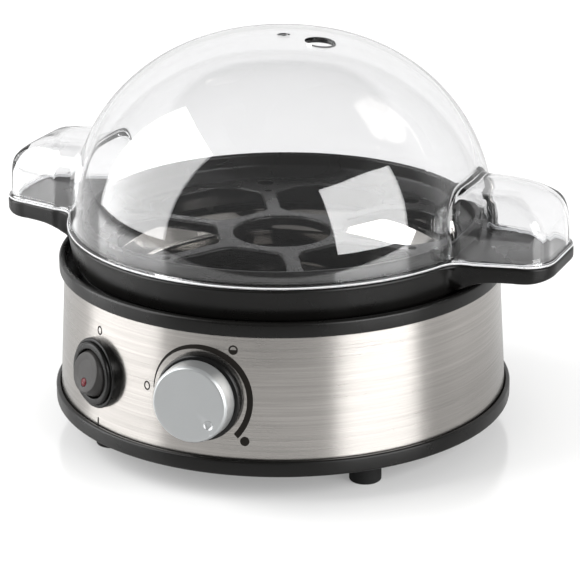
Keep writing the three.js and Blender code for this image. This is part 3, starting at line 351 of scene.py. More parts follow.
def circle(radius, steps=64, x=0.0, y=0.0):
    turns = [2 * math.pi * k / steps for k in range(steps)]
    return [(x + radius * math.cos(a), y + radius * math.sin(a)) for a in turns]


def raised(outline, z):
    return [(x, y, z) for x, y in outline]


def skin(rings):
    """New bmesh with a row of corners for each ring of points; all rings run the same way round."""
    bm = bmesh.new()
    rows = [[bm.verts.new(p) for p in ring] for ring in rings]
    return bm, rows


def bridge(bm, low, high):
    """Faces from one row of corners to the next; a row of one corner is a pole."""
    count = max(len(low), len(high))
    for k in range(count if count > 1 else 0):
        m = k + 1
        around = (low[k % len(low)], low[m % len(low)], high[m % len(high)], high[k % len(high)])
        bm.faces.new(tuple(dict.fromkeys(around)))


def meshed(bm):
    bmesh.ops.recalc_face_normals(bm, faces=bm.faces)
    mesh = bpy.data.meshes.new("form")
    bm.to_mesh(mesh)
    bm.free()
    return mesh


def lofted(rings, closed=True):
    """Skin over rings of points; its last ring is joined to the first unless it stays open."""
    bm, rows = skin(rings)
    for low, high in zip(rows, rows[1:] + (rows[:1] if closed else [])):
        bridge(bm, low, high)
    bmesh.ops.remove_doubles(bm, verts=bm.verts, dist=SAME_POINT)
    bmesh.ops.dissolve_degenerate(bm, edges=bm.edges, dist=SAME_POINT)
    return meshed(bm)


def capped(rings):
    """Skin over rings whose first and last are filled flat."""
    bm, rows = skin(rings)
    for low, high in zip(rows, rows[1:]):
        bridge(bm, low, high)
    bm.faces.new(list(reversed(rows[0])))
    bm.faces.new(rows[-1])
    return meshed(bm)


def spun(outline, steps=RING_STEPS):
    """Body of revolution about Z from an outline; one that starts and ends on the axis is closed by it."""
    rings = [[(0, 0, z)] if r < SAME_POINT else raised(circle(r, steps), z) for r, z in outline]
    return lofted(rings, closed=len(rings[0]) > 1 or len(rings[-1]) > 1)


def cylinder(radius, low, high, steps):
    return spun([(0, low), (radius, low), (radius, high), (0, high)], steps)


def upright(outline, low, high):
    """Prism of a closed plan outline between two heights."""
    return capped([raised(outline, low), raised(outline, high)])


def linked(name, data):
    obj = bpy.data.objects.new(name, data)
    bpy.context.scene.collection.objects.link(obj)
    return obj


def carved(mesh, tools, operation="DIFFERENCE"):
    """The mesh with each tool cut out of it, or joined to it; the tools are used up."""
    body, *cutters = used = [linked("carving", one) for one in (mesh, *tools)]
    for cutter in cutters:
        cut = body.modifiers.new("cut", "BOOLEAN")
        cut.operation = operation
        cut.solver = "MANIFOLD"
        cut.object = cutter
    depsgraph = bpy.context.evaluated_depsgraph_get()
    result = bpy.data.meshes.new_from_object(body.evaluated_get(depsgraph))
    for obj in used:
        data = obj.data
        bpy.data.objects.remove(obj)
        bpy.data.meshes.remove(data)
    if len(result.polygons) == 0:
        raise RuntimeError("cutting left nothing of a piece")
    return result


def moved(mesh, place):
    mesh.transform(place)
    return mesh


def shifted(x, y, z=0):
    return Matrix.Translation((x, y, z))


def smoothed(mesh, sharp_degrees):
    mesh.shade_smooth()
    mesh.set_sharp_from_angle(angle=math.radians(sharp_degrees))
    return mesh


def add_piece(name, mesh, finishes, body, replaced=(), sharp_degrees=32):
    """Link a finished mesh as a piece that rides on a body and stands for CAD nodes."""
    mesh.name = name
    mesh.materials.clear()
    for one in finishes:
        mesh.materials.append(one)
    obj = linked(name, smoothed(mesh, sharp_degrees))
    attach(obj, body)
    if replaced:
        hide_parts(*replaced)
    return obj


def dressed(node, mesh, finishes, body, sharp_degrees=32):
    """Link a finished mesh as the looks of one CAD node."""
    return add_piece(f"{node}_looks", mesh, finishes, body, [node], sharp_degrees)


def dress(node, finish, sharp_degrees=35):
    """Give a CAD node that stays its finish and smooth shading over its facets."""
    data = nodes[node].data
    data.materials.clear()
    data.materials.append(finish)
    for polygon in data.polygons:
        polygon.material_index = 0
    smoothed(data, sharp_degrees)


# Shader helpers


class Wiring:
    """Adds nodes to a tree and fills their inputs with values or with other nodes' sockets."""

    def __init__(self, tree):
        self.tree = tree
        tree.nodes.clear()

    def add(self, kind, inputs=None, **settings):
        node = self.tree.nodes.new(kind)
        for name, value in settings.items():
            setattr(node, name, value)
        self.fill(node, inputs or {})
        return node

    def fill(self, node, inputs):
        for key, value in inputs.items():
            socket = node.inputs[key]
            if isinstance(value, bpy.types.NodeSocket):
                self.tree.links.new(value, socket)
            elif isinstance(value, (tuple, list)) and len(value) == 3 and socket.type == "RGBA":
                socket.default_value = (*value, 1)
            else:
                socket.default_value = value

    def math(self, operation, first, second=0.0, clamp=False):
        node = self.add("ShaderNodeMath", {0: first, 1: second}, operation=operation, use_clamp=clamp)
        return node.outputs[0]

    def times(self, first, second):
        return self.math("MULTIPLY", first, second)

    def ramp(self, value, low, high, to_low=0.0, to_high=1.0):
        node = self.add("ShaderNodeMapRange", {"Value": value, "From Min": low, "From Max": high,
                                               "To Min": to_low, "To Max": to_high})
        return node.outputs["Result"]

    def blend(self, mask, first, second):
        """Colour that goes from the first to the second by a mask."""
        return self.add("ShaderNodeMix", {"Factor": mask, 6: first, 7: second}, data_type="RGBA").outputs[2]

    def choose(self, mask, first, second):
        """Number that goes from the first to the second by a mask."""
        return self.add("ShaderNodeMix", {"Factor": mask, 2: first, 3: second}, data_type="FLOAT").outputs[0]

    def tones(self, mask, base, first, second):
        """Colour between two shares of a base."""
        return self.blend(mask, lighter(base, first), lighter(base, second))

    def vector(self, operation, *inputs):
        return self.add("ShaderNodeVectorMath", dict(enumerate(inputs)), operation=operation).outputs

    def coordinates(self, kind="Object"):
        return self.add("ShaderNodeTexCoord").outputs[kind]

    def stretched(self, across, up=None):
        """Object coordinates stretched across the Z axis and up it."""
        place = self.coordinates()
        sizes = {"X": across, "Y": across, "Z": across if up is None else up}
        return self.vector("MULTIPLY", place, self.add("ShaderNodeCombineXYZ", sizes).outputs[0])[0]

    def noise(self, across, up=None, **shape):
        """Noise with so many grains per metre across the Z axis and up it."""
        inputs = {"Vector": self.stretched(across, up), "Scale": 1.0, **shape}
        return self.add("ShaderNodeTexNoise", inputs).outputs["Fac"]

    def bump(self, height, strength, distance):
        inputs = {"Height": height, "Strength": strength, "Distance": distance}
        return self.add("ShaderNodeBump", inputs).outputs["Normal"]

    def use(self, make, **inputs):
        """Outputs of an effect's node group; its inputs are named with underscores for spaces."""
        node = self.add("ShaderNodeGroup", node_tree=effect(make))
        self.fill(node, {key.replace("_", " "): value for key, value in inputs.items()})
        return node.outputs

    def grain(self, grains, **inputs):
        """Height and shade of a moulded grain."""
        found = self.use(moulded_grain, Grains_per_metre=grains, **inputs)
        return found["Height"], found["Shade"]


def lighter(value, factor):
    return tuple(min(1.0, c * factor) for c in value)


def group_tree(name, inputs, outputs):
    """Empty node group with its named sockets: the tree, its wiring, its inputs and its output node."""
    tree = bpy.data.node_groups.new(name, "ShaderNodeTree")
    wires = Wiring(tree)
    for socket, value in inputs.items():
        made = tree.interface.new_socket(socket, in_out="INPUT", socket_type="NodeSocketFloat")
        made.default_value = value
    for socket in outputs:
        tree.interface.new_socket(socket, in_out="OUTPUT", socket_type="NodeSocketFloat")
    return tree, wires, wires.add("NodeGroupInput").outputs, wires.add("NodeGroupOutput")


def moulded_grain():
    """Fine spark-eroded grain of moulded plastic, with a slow drift in its depth."""
    tree, wires, given, out = group_tree(
        "Moulded grain", {"Grains per metre": 2600.0, "Drift per metre": 40.0}, ["Height", "Shade"])
    grain = wires.noise(given["Grains per metre"], Detail=3.0, Roughness=0.6)
    drift = wires.noise(given["Drift per metre"], Detail=2.0)
    wires.fill(out, {"Height": grain, "Shade": wires.times(grain, wires.ramp(drift, 0.3, 0.7, 0.7, 1.0))})
    return tree


def worn_edges():
    """Mask of edges rubbed by hands and cloths, broken up so that it isn't an even line."""
    tree, wires, given, out = group_tree(
        "Worn edges", {"Start": 0.52, "Full": 0.6, "Patches per metre": 160.0}, ["Mask"])
    edge = wires.add("ShaderNodeNewGeometry").outputs["Pointiness"]
    sharp = wires.ramp(edge, given["Start"], given["Full"])
    broken = wires.ramp(wires.noise(given["Patches per metre"], Detail=3.0), 0.35, 0.65)
    wires.fill(out, {"Mask": wires.math("MULTIPLY", sharp, broken, clamp=True)})
    return tree


def brush_lines():
    """Lines of a brushed sheet: long round the axis and very fine up it."""
    tree, wires, given, out = group_tree(
        "Brush lines", {"Lines per metre": 4200.0, "Run per metre": 14.0}, ["Height", "Streak"])
    run, across = given["Run per metre"], given["Lines per metre"]
    lines = wires.noise(run, across, Detail=2.0, Roughness=0.7)
    streaks = wires.noise(run, wires.times(across, 0.22), Detail=3.0, Roughness=0.65)
    wires.fill(out, {"Height": lines, "Streak": wires.ramp(wires.times(lines, streaks), 0.12, 0.42)})
    return tree


def handling():
    """Slow smudges left by hands, for the roughness of shiny faces."""
    tree, wires, given, out = group_tree(
        "Handling", {"Smudges per metre": 55.0, "Strength": 1.0}, ["Mask"])
    smudge = wires.noise(given["Smudges per metre"], Detail=4.0, Distortion=0.6)
    wires.fill(out, {"Mask": wires.times(wires.ramp(smudge, 0.42, 0.68), given["Strength"])})
    return tree


EFFECTS = {}


def effect(make):
    """The node group that a function makes, built once."""
    if make.__name__ not in EFFECTS:
        EFFECTS[make.__name__] = make()
    return EFFECTS[make.__name__]


FINISHES = {}


def finish(make, *values):
    """The material that a function makes, built once for its values."""
    key = (make.__name__, *values)
    if key not in FINISHES:
        FINISHES[key] = make(bpy.context.scene.cooker_finishes, *values)
    return FINISHES[key]


def new_material(name):
    material = bpy.data.materials.new(name)
    material.use_nodes = True
    wires = Wiring(material.node_tree)
    output = wires.add("ShaderNodeOutputMaterial")
    shader = wires.add("ShaderNodeBsdfPrincipled")
    wires.fill(output, {"Surface": shader.outputs[0]})
    return material, wires, shader, output


# Finishes

PLASTICS = {  # colour or its setting, roughness, grains per metre, share of the grain's depth, specular level
    "satin_black": ("satin_black", 0.3, 2600.0, 1.0, 0.24),
    "egg_plate_matt": ("web_grey", 0.27, 3400.0, 0.4, 0.24),
    "gloss_black": ("gloss_black", 0.12, 260.0, 0.3, 0.2),
    "collar_black": ("gloss_black", 0.24, 1500.0, 1.0, 0.24),
    "soft_rubber": ("rubber", 0.72, 1800.0, 1.0, 0.24),
    "rocker_grey": ((0.035, 0.033, 0.032), 0.38, 3000.0, 1.0, 0.24),
    "white_plastic": ((0.7, 0.69, 0.66), 0.45, 1800.0, 1.0, 0.24),
    "grey_plastic": ((0.12, 0.12, 0.125), 0.45, 1800.0, 1.0, 0.24),
    "dark_plastic": ((0.03, 0.03, 0.032), 0.45, 1800.0, 1.0, 0.24),
    "silicone": ((0.36, 0.09, 0.06), 0.45, 1800.0, 1.0, 0.24),
}
METALS = {  # colour and roughness
    "zinc_plate": ((0.62, 0.63, 0.64), 0.3),
    "brass": ((0.72, 0.55, 0.25), 0.28),
    "element_sheath": ((0.24, 0.22, 0.2), 0.45),
}


def plastic(looks, name):
    """Moulded plastic: fine grain, slow drift in its gloss and paler rubbed edges."""
    base, rough, grains, depth_share, specular = PLASTICS[name]
    base = tuple(getattr(looks, base) if isinstance(base, str) else base)
    material, wires, shader, _ = new_material(name)
    height, shade = wires.grain(grains)
    worn = wires.use(worn_edges)["Mask"]
    smudge = wires.use(handling)["Mask"]
    shaded = wires.tones(shade, base, 0.8, 1.2)
    rubbed = wires.times(worn, 0.35)
    wires.fill(shader, {
        "Base Color": wires.blend(rubbed, shaded, lighter(base, 3.0)),
        "Roughness": wires.math("SUBTRACT", wires.ramp(smudge, 0.0, 1.0, rough + 0.04, rough - 0.06),
                                wires.times(worn, 0.1)),
        "Normal": wires.bump(height, looks.grain_depth * depth_share, 0.02 * MM),
        "Specular IOR Level": specular})
    return material


def brushed_steel(looks):
    """Steel brushed round the band: streaks that never quite repeat, with highlights drawn up and down."""
    material, wires, shader, _ = new_material("brushed_steel")
    lines = wires.use(brush_lines)
    smudge = wires.use(handling, Smudges_per_metre=30.0)["Mask"]
    rough = looks.steel_roughness
    wires.fill(shader, {
        "Base Color": wires.tones(lines["Streak"], tuple(looks.steel), 0.8, 1.07),
        "Metallic": 1.0,
        "Roughness": wires.math("ADD", wires.ramp(lines["Streak"], 0.0, 1.0, rough + 0.04, rough - 0.03),
                                wires.times(smudge, 0.04)),
        "Anisotropic": 0.3,
        "Anisotropic Rotation": 0.25,
        "Tangent": wires.add("ShaderNodeTangent", direction_type="RADIAL", axis="Z").outputs["Tangent"],
        "Normal": wires.bump(lines["Height"], looks.brush_depth, 0.012 * MM)})
    return material


def satin_silver(looks):
    """Sprayed silver on the dial's cap: tiny flakes under a satin skin."""
    material, wires, shader, _ = new_material("satin_silver")
    height, shade = wires.grain(5200.0)
    worn = wires.use(worn_edges, Start=0.51, Full=0.57)["Mask"]
    base = tuple(looks.silver)
    flakes = wires.tones(shade, base, 0.9, 1.12)
    wires.fill(shader, {
        "Base Color": wires.blend(wires.times(worn, 0.5), flakes, lighter(base, 1.5)),
        "Metallic": 0.75,
        "Roughness": wires.ramp(shade, 0.3, 0.7, 0.36, 0.44),
        "Normal": wires.bump(height, 0.1, 0.01 * MM)})
    return material


def coated_plate(looks):
    """Bare metal of the water bowl, cloudy and a little limed."""
    material, wires, shader, _ = new_material("coated_plate")
    _, shade = wires.grain(900.0, Drift_per_metre=60.0)
    smudge = wires.use(handling, Smudges_per_metre=90.0, Strength=0.5)["Mask"]
    base = tuple(looks.plate)
    clouded = wires.tones(shade, base, 0.92, 1.06)
    wires.fill(shader, {
        "Base Color": wires.blend(wires.times(smudge, 0.3), clouded, lighter(base, 0.6)),
        "Metallic": 1.0,
        "Roughness": wires.ramp(smudge, 0.0, 0.5, 0.05, 0.13)})
    return material


def clear_plastic(looks):
    """Clear moulded lid: real refraction for the eye, and open to the lamps' light."""
    material, wires, shader, output = new_material("clear_plastic")
    smudge = wires.use(handling, Smudges_per_metre=24.0)["Mask"]
    wires.fill(shader, {
        "Base Color": tuple(looks.clear_tint),
        "Transmission Weight": 1.0,
        "IOR": 1.57,
        "Specular IOR Level": 0.9,
        "Roughness": wires.ramp(smudge, 0.0, 1.0, 0.0, 0.02),
        "Normal": wires.bump(wires.noise(38.0, Detail=1.0), 0.12, 0.25 * MM)})
    path = wires.add("ShaderNodeLightPath").outputs
    passing = wires.math("MAXIMUM", path["Is Shadow Ray"], path["Is Diffuse Ray"])
    open_air = wires.add("ShaderNodeBsdfTransparent", {"Color": (0.93, 0.935, 0.94)})
    mix = wires.add("ShaderNodeMixShader", {"Fac": passing, 1: shader.outputs[0], 2: open_air.outputs[0]})
    wires.fill(output, {"Surface": mix.outputs[0]})
    return material


def speckled(name, base, grains, tones, roughness, **more):
    """Material whose colour and gloss follow a grain: tones are two shares of its base."""
    material, wires, shader, _ = new_material(name)
    _, shade = wires.grain(grains)
    wires.fill(shader, {
        "Base Color": wires.tones(shade, base, *tones),
        "Roughness": wires.ramp(shade, 0.2, 0.8, *roughness),
        **{key.replace("_", " "): value for key, value in more.items()}})
    return material


def bright_edge(looks):
    """Rounded edge of the clear flange, painted near white: a painted highlight for the light that the
    plastic gathers there and shows as a white line.
    """
    return speckled("bright_edge", tuple(looks.edge), 300.0, (0.6, 1.0), (0.25, 0.4),
                    Transmission_Weight=0.25)


def red_lens(looks):
    """Red translucent lens, unlit, with a faint grain under its skin."""
    return speckled("red_lens", tuple(looks.lens), 1600.0, (0.6, 1.0), (0.15, 0.3), Specular_IOR_Level=0.2,
                    Subsurface_Weight=0.3, Subsurface_Radius=(0.002, 0.0004, 0.0004))


def printed_ink(looks):
    """Pad-printed ink on the steel, a little thin in places."""
    return speckled("printed_ink", tuple(looks.ink), 5000.0, (1.0, 2.2), (0.4, 0.6), Specular_IOR_Level=0.12)


def plated(looks, name):
    """Plated or tinted metal of the inner fittings, cloudy and a little scratched."""
    base, rough = METALS[name]
    material, wires, shader, _ = new_material(name)
    lines = wires.use(brush_lines, Lines_per_metre=2500.0, Run_per_metre=160.0)
    cloud = wires.use(handling, Smudges_per_metre=220.0)["Mask"]
    tinted = wires.tones(cloud, base, 1.0, 0.7)
    wires.fill(shader, {
        "Base Color": wires.blend(wires.times(lines["Streak"], 0.4), tinted, lighter(base, 1.25)),
        "Metallic": 1.0,
        "Roughness": wires.ramp(cloud, 0.0, 1.0, rough, rough + 0.15),
        "Normal": wires.bump(lines["Height"], 0.15, 0.02 * MM)})
    return material


def solder_mask(looks):
    """Green board with paler tracks under its mask."""
    material, wires, shader, _ = new_material("solder_mask")
    cells = wires.add("ShaderNodeTexVoronoi", {"Vector": wires.stretched(420.0), "Scale": 1.0},
                      distance="MANHATTAN")
    tracks = wires.ramp(cells.outputs["Distance"], 0.38, 0.42)
    wires.fill(shader, {
        "Base Color": wires.blend(tracks, (0.02, 0.13, 0.04), (0.05, 0.24, 0.08)),
        "Roughness": wires.ramp(tracks, 0.0, 1.0, 0.22, 0.34),
        "Normal": wires.bump(tracks, 0.3, 0.03 * MM)})
    return material


# Shapes shared by the tray and the lid


def soft_union(first, second, softness):
    h = np.clip(0.5 + 0.5 * (second - first) / softness, 0, 1)
    return second * (1 - h) + first * h - softness * h * (1 - h)


def soft_cut(first, second, softness):
    return -soft_union(-first, -second, softness)


def rounded_box(u, v, half_u, half_v, corner):
    """Signed distance to a rounded rectangle about the origin."""
    du = np.abs(u) - (half_u - corner)
    dv = np.abs(v) - (half_v - corner)
    return np.hypot(np.maximum(du, 0), np.maximum(dv, 0)) + np.minimum(np.maximum(du, dv), 0) - corner


def solved(field, count, low, high, steps=34):
    """Distance along each ray where the field turns from inside to outside."""
    low, high = np.full(count, low), np.full(count, high)
    for _ in range(steps):
        middle = (low + high) / 2
        inside = field(middle) < 0
        low = np.where(inside, middle, low)
        high = np.where(inside, high, middle)
    return (low + high) / 2


def graded(stops):
    """Numbers from (start, step) stops up to the last stop."""
    values = []
    for (start, step), (end, _) in zip(stops, stops[1:]):
        count = max(1, round((end - start) / step))
        values += [start + (end - start) * k / count for k in range(count)]
    return values + [stops[-1][0]]


def plan_angles():
    """Directions round the tray and lid, close together where the handles' sides are."""
    quarter = graded(PLAN_STOPS)
    half = quarter + [180 - a for a in reversed(quarter[:-1])]
    return np.radians(np.array(half + [180 + a for a in half[1:-1]]))


def handle_half(x):
    """Half width of a handle at a distance along it: it narrows to where its tip rounds."""
    end = HANDLE.reach - HANDLE.corner
    run = (end - np.abs(x)) / (end - HANDLE.neck)
    return HANDLE.half_width + HANDLE.taper * np.clip(run, 0, 1)


def plan_radius(angles, inset=0.0):
    """Outline of skirt and handles together, from the axis, drawn in by an inset."""
    x, y = np.cos(angles), np.sin(angles)

    def field(r):
        skirt = r - (TRAY.radius - inset)
        handles = rounded_box(r * x, r * y, HANDLE.reach - inset, handle_half(r * x) - inset,
                              HANDLE.corner - inset)
        return soft_union(skirt, handles, HANDLE.blend)

    return solved(field, len(angles), *PLAN_SEARCH)


def quarter_turn(steps):
    return [math.pi / 2 * k / steps for k in range(steps + 1)]


def ring_at(angles, radii, heights):
    radii = np.broadcast_to(radii, np.shape(angles))
    heights = np.broadcast_to(heights, np.shape(angles))
    return np.stack([radii * np.cos(angles), radii * np.sin(angles), heights], axis=1)


def handle_under(x):
    """Height of a handle's underside at a distance along it: curved at its root, turned up at its tip."""
    root_x = TRAY.radius - TRAY.taper
    root_z = RIM_HIGH + HANDLE.clear
    flat_z = TRAY_LAND - HANDLE.thick
    flat_x = TRAY.radius + HANDLE.root
    tip_x = HANDLE.reach - HANDLE.tip_length
    s = np.clip((x - root_x) / (flat_x - root_x), 0, 1)
    root = root_z + (flat_z - root_z) * (1 - (1 - s) ** HANDLE_ROOT_POWER)
    t = np.clip((x - tip_x) / HANDLE.tip_length, 0, 1)
    return root + HANDLE.tip_rise * t ** 2


def tray_top(angles, outline, plate_top):
    """Rings from the middle of the tray's top to its rounded outer edge."""
    collar_in = TRAY.collar - TRAY.collar_wall
    collar_top = TRAY_LAND + TRAY.collar_rise
    top = filleted([
        (TRAY.plate_radius - 6 * MM, plate_top), (TRAY.plate_radius - 1 * MM, plate_top, 1.6 * MM),
        (collar_in, TRAY_LAND - 0.6 * MM, 2 * MM), (collar_in, collar_top, 1.1 * MM),
        (TRAY.collar, collar_top, 1.1 * MM), (TRAY.collar + GAP, TRAY_LAND, 0.4 * MM),
        (TRAY.collar + 2 * MM, TRAY_LAND)], 6)
    rings = [[(0, 0, plate_top)], ring_at(angles, EGG.middle / 2, plate_top)]
    rings += [ring_at(angles, p.x, p.y) for p in top]
    for turn in quarter_turn(EDGE_STEPS):
        rings.append(ring_at(angles, outline - TRAY.round * (1 - math.sin(turn)),
                             TRAY_LAND - TRAY.round * (1 - math.cos(turn))))
    return rings


def skirt_radius(z):
    return TRAY.radius - TRAY.taper * (TRAY_LAND - z) / (TRAY_LAND - TRAY_FOOT)


def tray_side(angles, outline, low_z):
    """Rings down the outer wall: a plain taper round the skirt, a rounded slab along the handles."""
    edge = HANDLE.edge
    wall_z = TRAY_LAND - TRAY.round
    side_z = np.minimum(handle_under(outline * np.abs(np.cos(angles))) + edge, wall_z - 0.2 * MM)
    path = [(outline, wall_z + (side_z - wall_z) * f) for f in HANDLE_WALL_SHARES]
    for turn in quarter_turn(HANDLE_EDGE_STEPS)[1:]:
        path.append((outline - edge * (1 - math.cos(turn)), side_z - edge * math.sin(turn)))
    start = outline - edge
    for k in range(1, UNDER_ROWS + 1):
        r = start + (skirt_radius(low_z) - start) * (k / UNDER_ROWS) ** UNDER_POWER
        path.append((r, handle_under(r * np.abs(np.cos(angles)))))
    handle = np.clip((outline - TRAY.radius) / HANDLE.shoulder, 0, 1)
    handle = handle * handle * (3 - 2 * handle)
    rings = []
    for k, (r, z) in enumerate(path):
        plain_z = wall_z + (low_z - wall_z) * (k + 1) / len(path)
        rings.append(ring_at(angles, skirt_radius(plain_z) * (1 - handle) + r * handle,
                             plain_z * (1 - handle) + z * handle))
    return rings


def tray_foot(angles, low_z, plate_under):
    """Rings from the skirt's foot over the spigot to the middle of the underside."""
    skirt_foot = TRAY.radius - TRAY.taper
    under = TRAY_LAND - TRAY.wall
    spigot_in = TRAY.spigot - TRAY.spigot_wall
    spigot_z = TRAY_FOOT - TRAY.spigot_depth
    foot = filleted([
        (skirt_radius(low_z), low_z), (skirt_foot, TRAY_FOOT, 0.8 * MM),
        (skirt_foot - TRAY.wall - 0.6 * MM, TRAY_FOOT, 0.7 * MM),
        (skirt_foot - TRAY.wall, TRAY_FOOT + 2 * MM), (TRAY.radius - TRAY.wall, under, 0.6 * MM),
        (TRAY.collar, under, 0.6 * MM), (TRAY.spigot + 0.6 * MM, plate_under, 0.6 * MM),
        (TRAY.spigot, spigot_z, 0.4 * MM), (spigot_in, spigot_z, 0.4 * MM),
        (spigot_in, plate_under, 0.4 * MM), (spigot_in - 4 * MM, plate_under)])
    rings = [ring_at(angles, p.x, p.y) for p in foot[1:]]
    return rings + [ring_at(angles, EGG.middle / 2, plate_under), [(0, 0, plate_under)]]


def rounded_loop(corners, radius, steps=6):
    """Closed plan outline with every corner rounded."""
    loop = []
    for before, here, after in zip(corners[-1:] + corners, corners, corners[1:] + corners[:1]):
        bent = filleted([before, (*here, radius), after], steps)
        loop += [(p.x, p.y) for p in bent[1:-1]]
    return loop


def egg_outline():
    """One outer egg opening on +X, widest at its shoulder."""
    half = math.pi / EGG_COUNT
    reach = EGG.outer - EGG.inner
    inner, widest = (r * math.tan(half) - EGG.web / 2 / math.cos(half)
                     for r in (EGG.inner, EGG.inner + reach * EGG_SHOULDER_SHARE))
    one_side = [(EGG.inner, inner), (EGG.inner + reach * EGG_SHOULDER_SHARE, widest),
                (EGG.inner + reach * EGG_CREST_SHARE, widest * EGG_CREST_WIDTH_SHARE),
                (EGG.outer, inner * EGG_END_SHARE)]
    return rounded_loop([(x, -y) for x, y in one_side] + one_side[::-1], EGG.corner)


def grown(outline, offset):
    """A closed outline moved out along its normals."""
    points = np.array(outline)
    ahead = np.roll(points, -1, axis=0) - np.roll(points, 1, axis=0)
    normals = np.stack([ahead[:, 1], -ahead[:, 0]], axis=1)
    normals /= np.linalg.norm(normals, axis=1)[:, None]
    return points + normals * offset


def hole_cutter(outline, low, top, lip):
    """Tool for an opening: straight walls that flare into a rounded upper edge."""
    levels = [(low, 0.0)]
    for k in range(LIP_STEPS + 1):
        turn = LIP_SWEEP * k / LIP_STEPS
        levels.append((top - lip + lip * math.sin(turn), lip * (1 - math.cos(turn))))
    levels.append((top + TOOL.over, levels[-1][1]))
    return capped([raised(grown(outline, offset), z) for z, offset in levels])


def tray_openings(lip):
    """Outline, turn, lip and whether it is sleeved, of every opening in the egg plate."""
    step = 2 * math.pi / EGG_COUNT
    holes = [(circle(EGG.middle, KNOB_STEPS), 0.0, lip, True)]
    for i in range(EGG_COUNT):
        holes.append((egg_outline(), step * (i + 0.5), lip, True))
        holes.append((circle(EGG.slot, SLOT_STEPS, EGG.slot_circle), step * i, EGG.slot_lip, False))
        holes.append((circle(EGG.pin, PIN_STEPS, EGG.pin_circle), step * i, EGG.pin_lip, False))
    return holes


def lid_field(x, y, z, inset):
    """Roughly the signed distance to the lid's outer face, moved in by an inset; z is above its foot."""
    radius = LID.dome - inset
    height = CROWN - LID_FOOT + LID.crown_drop - inset
    power = DOME_FULLNESS
    r = np.hypot(x, y)
    lifted = np.maximum(z, 0) + LID.crown_drop * np.exp(-(r / LID.crown_spread) ** 2)
    shape = ((r / radius) ** power + (lifted / height) ** power) ** (1 / power)
    dome = (shape - 1) * math.sqrt(radius * height)
    ear_top = EAR.top - LID_FOOT
    drawn = EAR.inset + inset + EAR_DRAFT_SHARE * z
    half = handle_half(x) - drawn
    tip = HANDLE.reach - drawn
    corner_drop = inset * EAR_CORNER_LOSS
    plan = rounded_box(x, y, tip, half, EAR.plan_corner - corner_drop)
    arch = rounded_box(y, z, half, ear_top - inset, EAR.arch_corner - corner_drop)
    side = rounded_box(x, z, tip, ear_top - inset, EAR.side_corner - corner_drop)
    ear = soft_cut(soft_cut(plan, arch, EAR.softness), side, EAR.softness)
    return soft_union(dome, ear, EAR.fillet - EAR_FILLET_LOSS * inset)


def lid_rings(angles, sheet):
    """Rings of the lid: up its outside from the flange, over the crown and down its inside."""
    x, y = np.cos(angles), np.sin(angles)

    def level(inset, z):
        return solved(lambda r: lid_field(r * x, r * y, z, inset), len(angles), *DOME_SEARCH)

    def slanted(inset, elevation):
        out, up = math.cos(elevation), math.sin(elevation)
        rho = solved(lambda d: lid_field(d * out * x, d * out * y, d * up, inset), len(angles),
                     *DOME_SEARCH)
        return ring_at(angles, rho * out, rho * up + LID_FOOT)

    first = plan_radius(angles)
    second = plan_radius(angles, LID.step_width)
    foot, one, two = LID_FOOT, LID_FOOT + LID.step_height, LID_FOOT + 2 * LID.step_height
    e = LID.edge
    rings = [ring_at(angles, r, z) for r, z in (
        (first - e, foot), (first, foot + e), (first, one - e), (first - e, one), (second + e / 2, one),
        (second, one + e / 2), (second, two - e), (second - e, two))]
    base = np.minimum(level(0, two - LID_FOOT), second - 1.5 * e)
    rings.append(ring_at(angles, base, two))
    elevations = [math.radians(a) for a in graded(DOME_STOPS)]
    rings += [slanted(0, a) for a in elevations]
    rings += [[(0, 0, CROWN)], [(0, 0, CROWN - sheet)]]
    rings += [slanted(sheet, a) for a in reversed(elevations)]
    rings.append(ring_at(angles, level(sheet, e), foot + e))
    rings.append(ring_at(angles, level(sheet, 0.0) + e, foot))
    return rings


# Operators: one for each piece or group of like pieces


class CookerOperator(bpy.types.Operator):
    """Shared base of the egg cooker's operators"""

    bl_options = {"REGISTER", "UNDO"}

    def execute(self, context):
        self.build(context.scene)
        return {"FINISHED"}


class COOKER_OT_feet(CookerOperator):
    """Build the soft feet under the base pan"""

    bl_idname = "cooker.feet"
    bl_label = "Feet"

    def build(self, scene):
        for node in [name for name in nodes if name.startswith("foot_")]:
            low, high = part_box(node)
            seat = PAN_LOW - 0.1 * MM
            pad_z = low.z + FOOT.pad_depth
            foot = spun(filleted([
                (0, pad_z), (FOOT.pad, pad_z, 0.2 * MM), (FOOT.pad + 0.3 * MM, low.z, 0.15 * MM),
                (FOOT.radius, low.z, FOOT.round), (FOOT.radius, seat, 0.2 * MM), (FOOT.pad / 2, seat),
                (FOOT.pad / 2, high.z, 0.5 * MM), (0, high.z)]), KNOB_STEPS)
            middle = (low + high) / 2
            dressed(node, moved(foot, shifted(middle.x, middle.y)), [finish(plastic, "soft_rubber")],
                    "base")


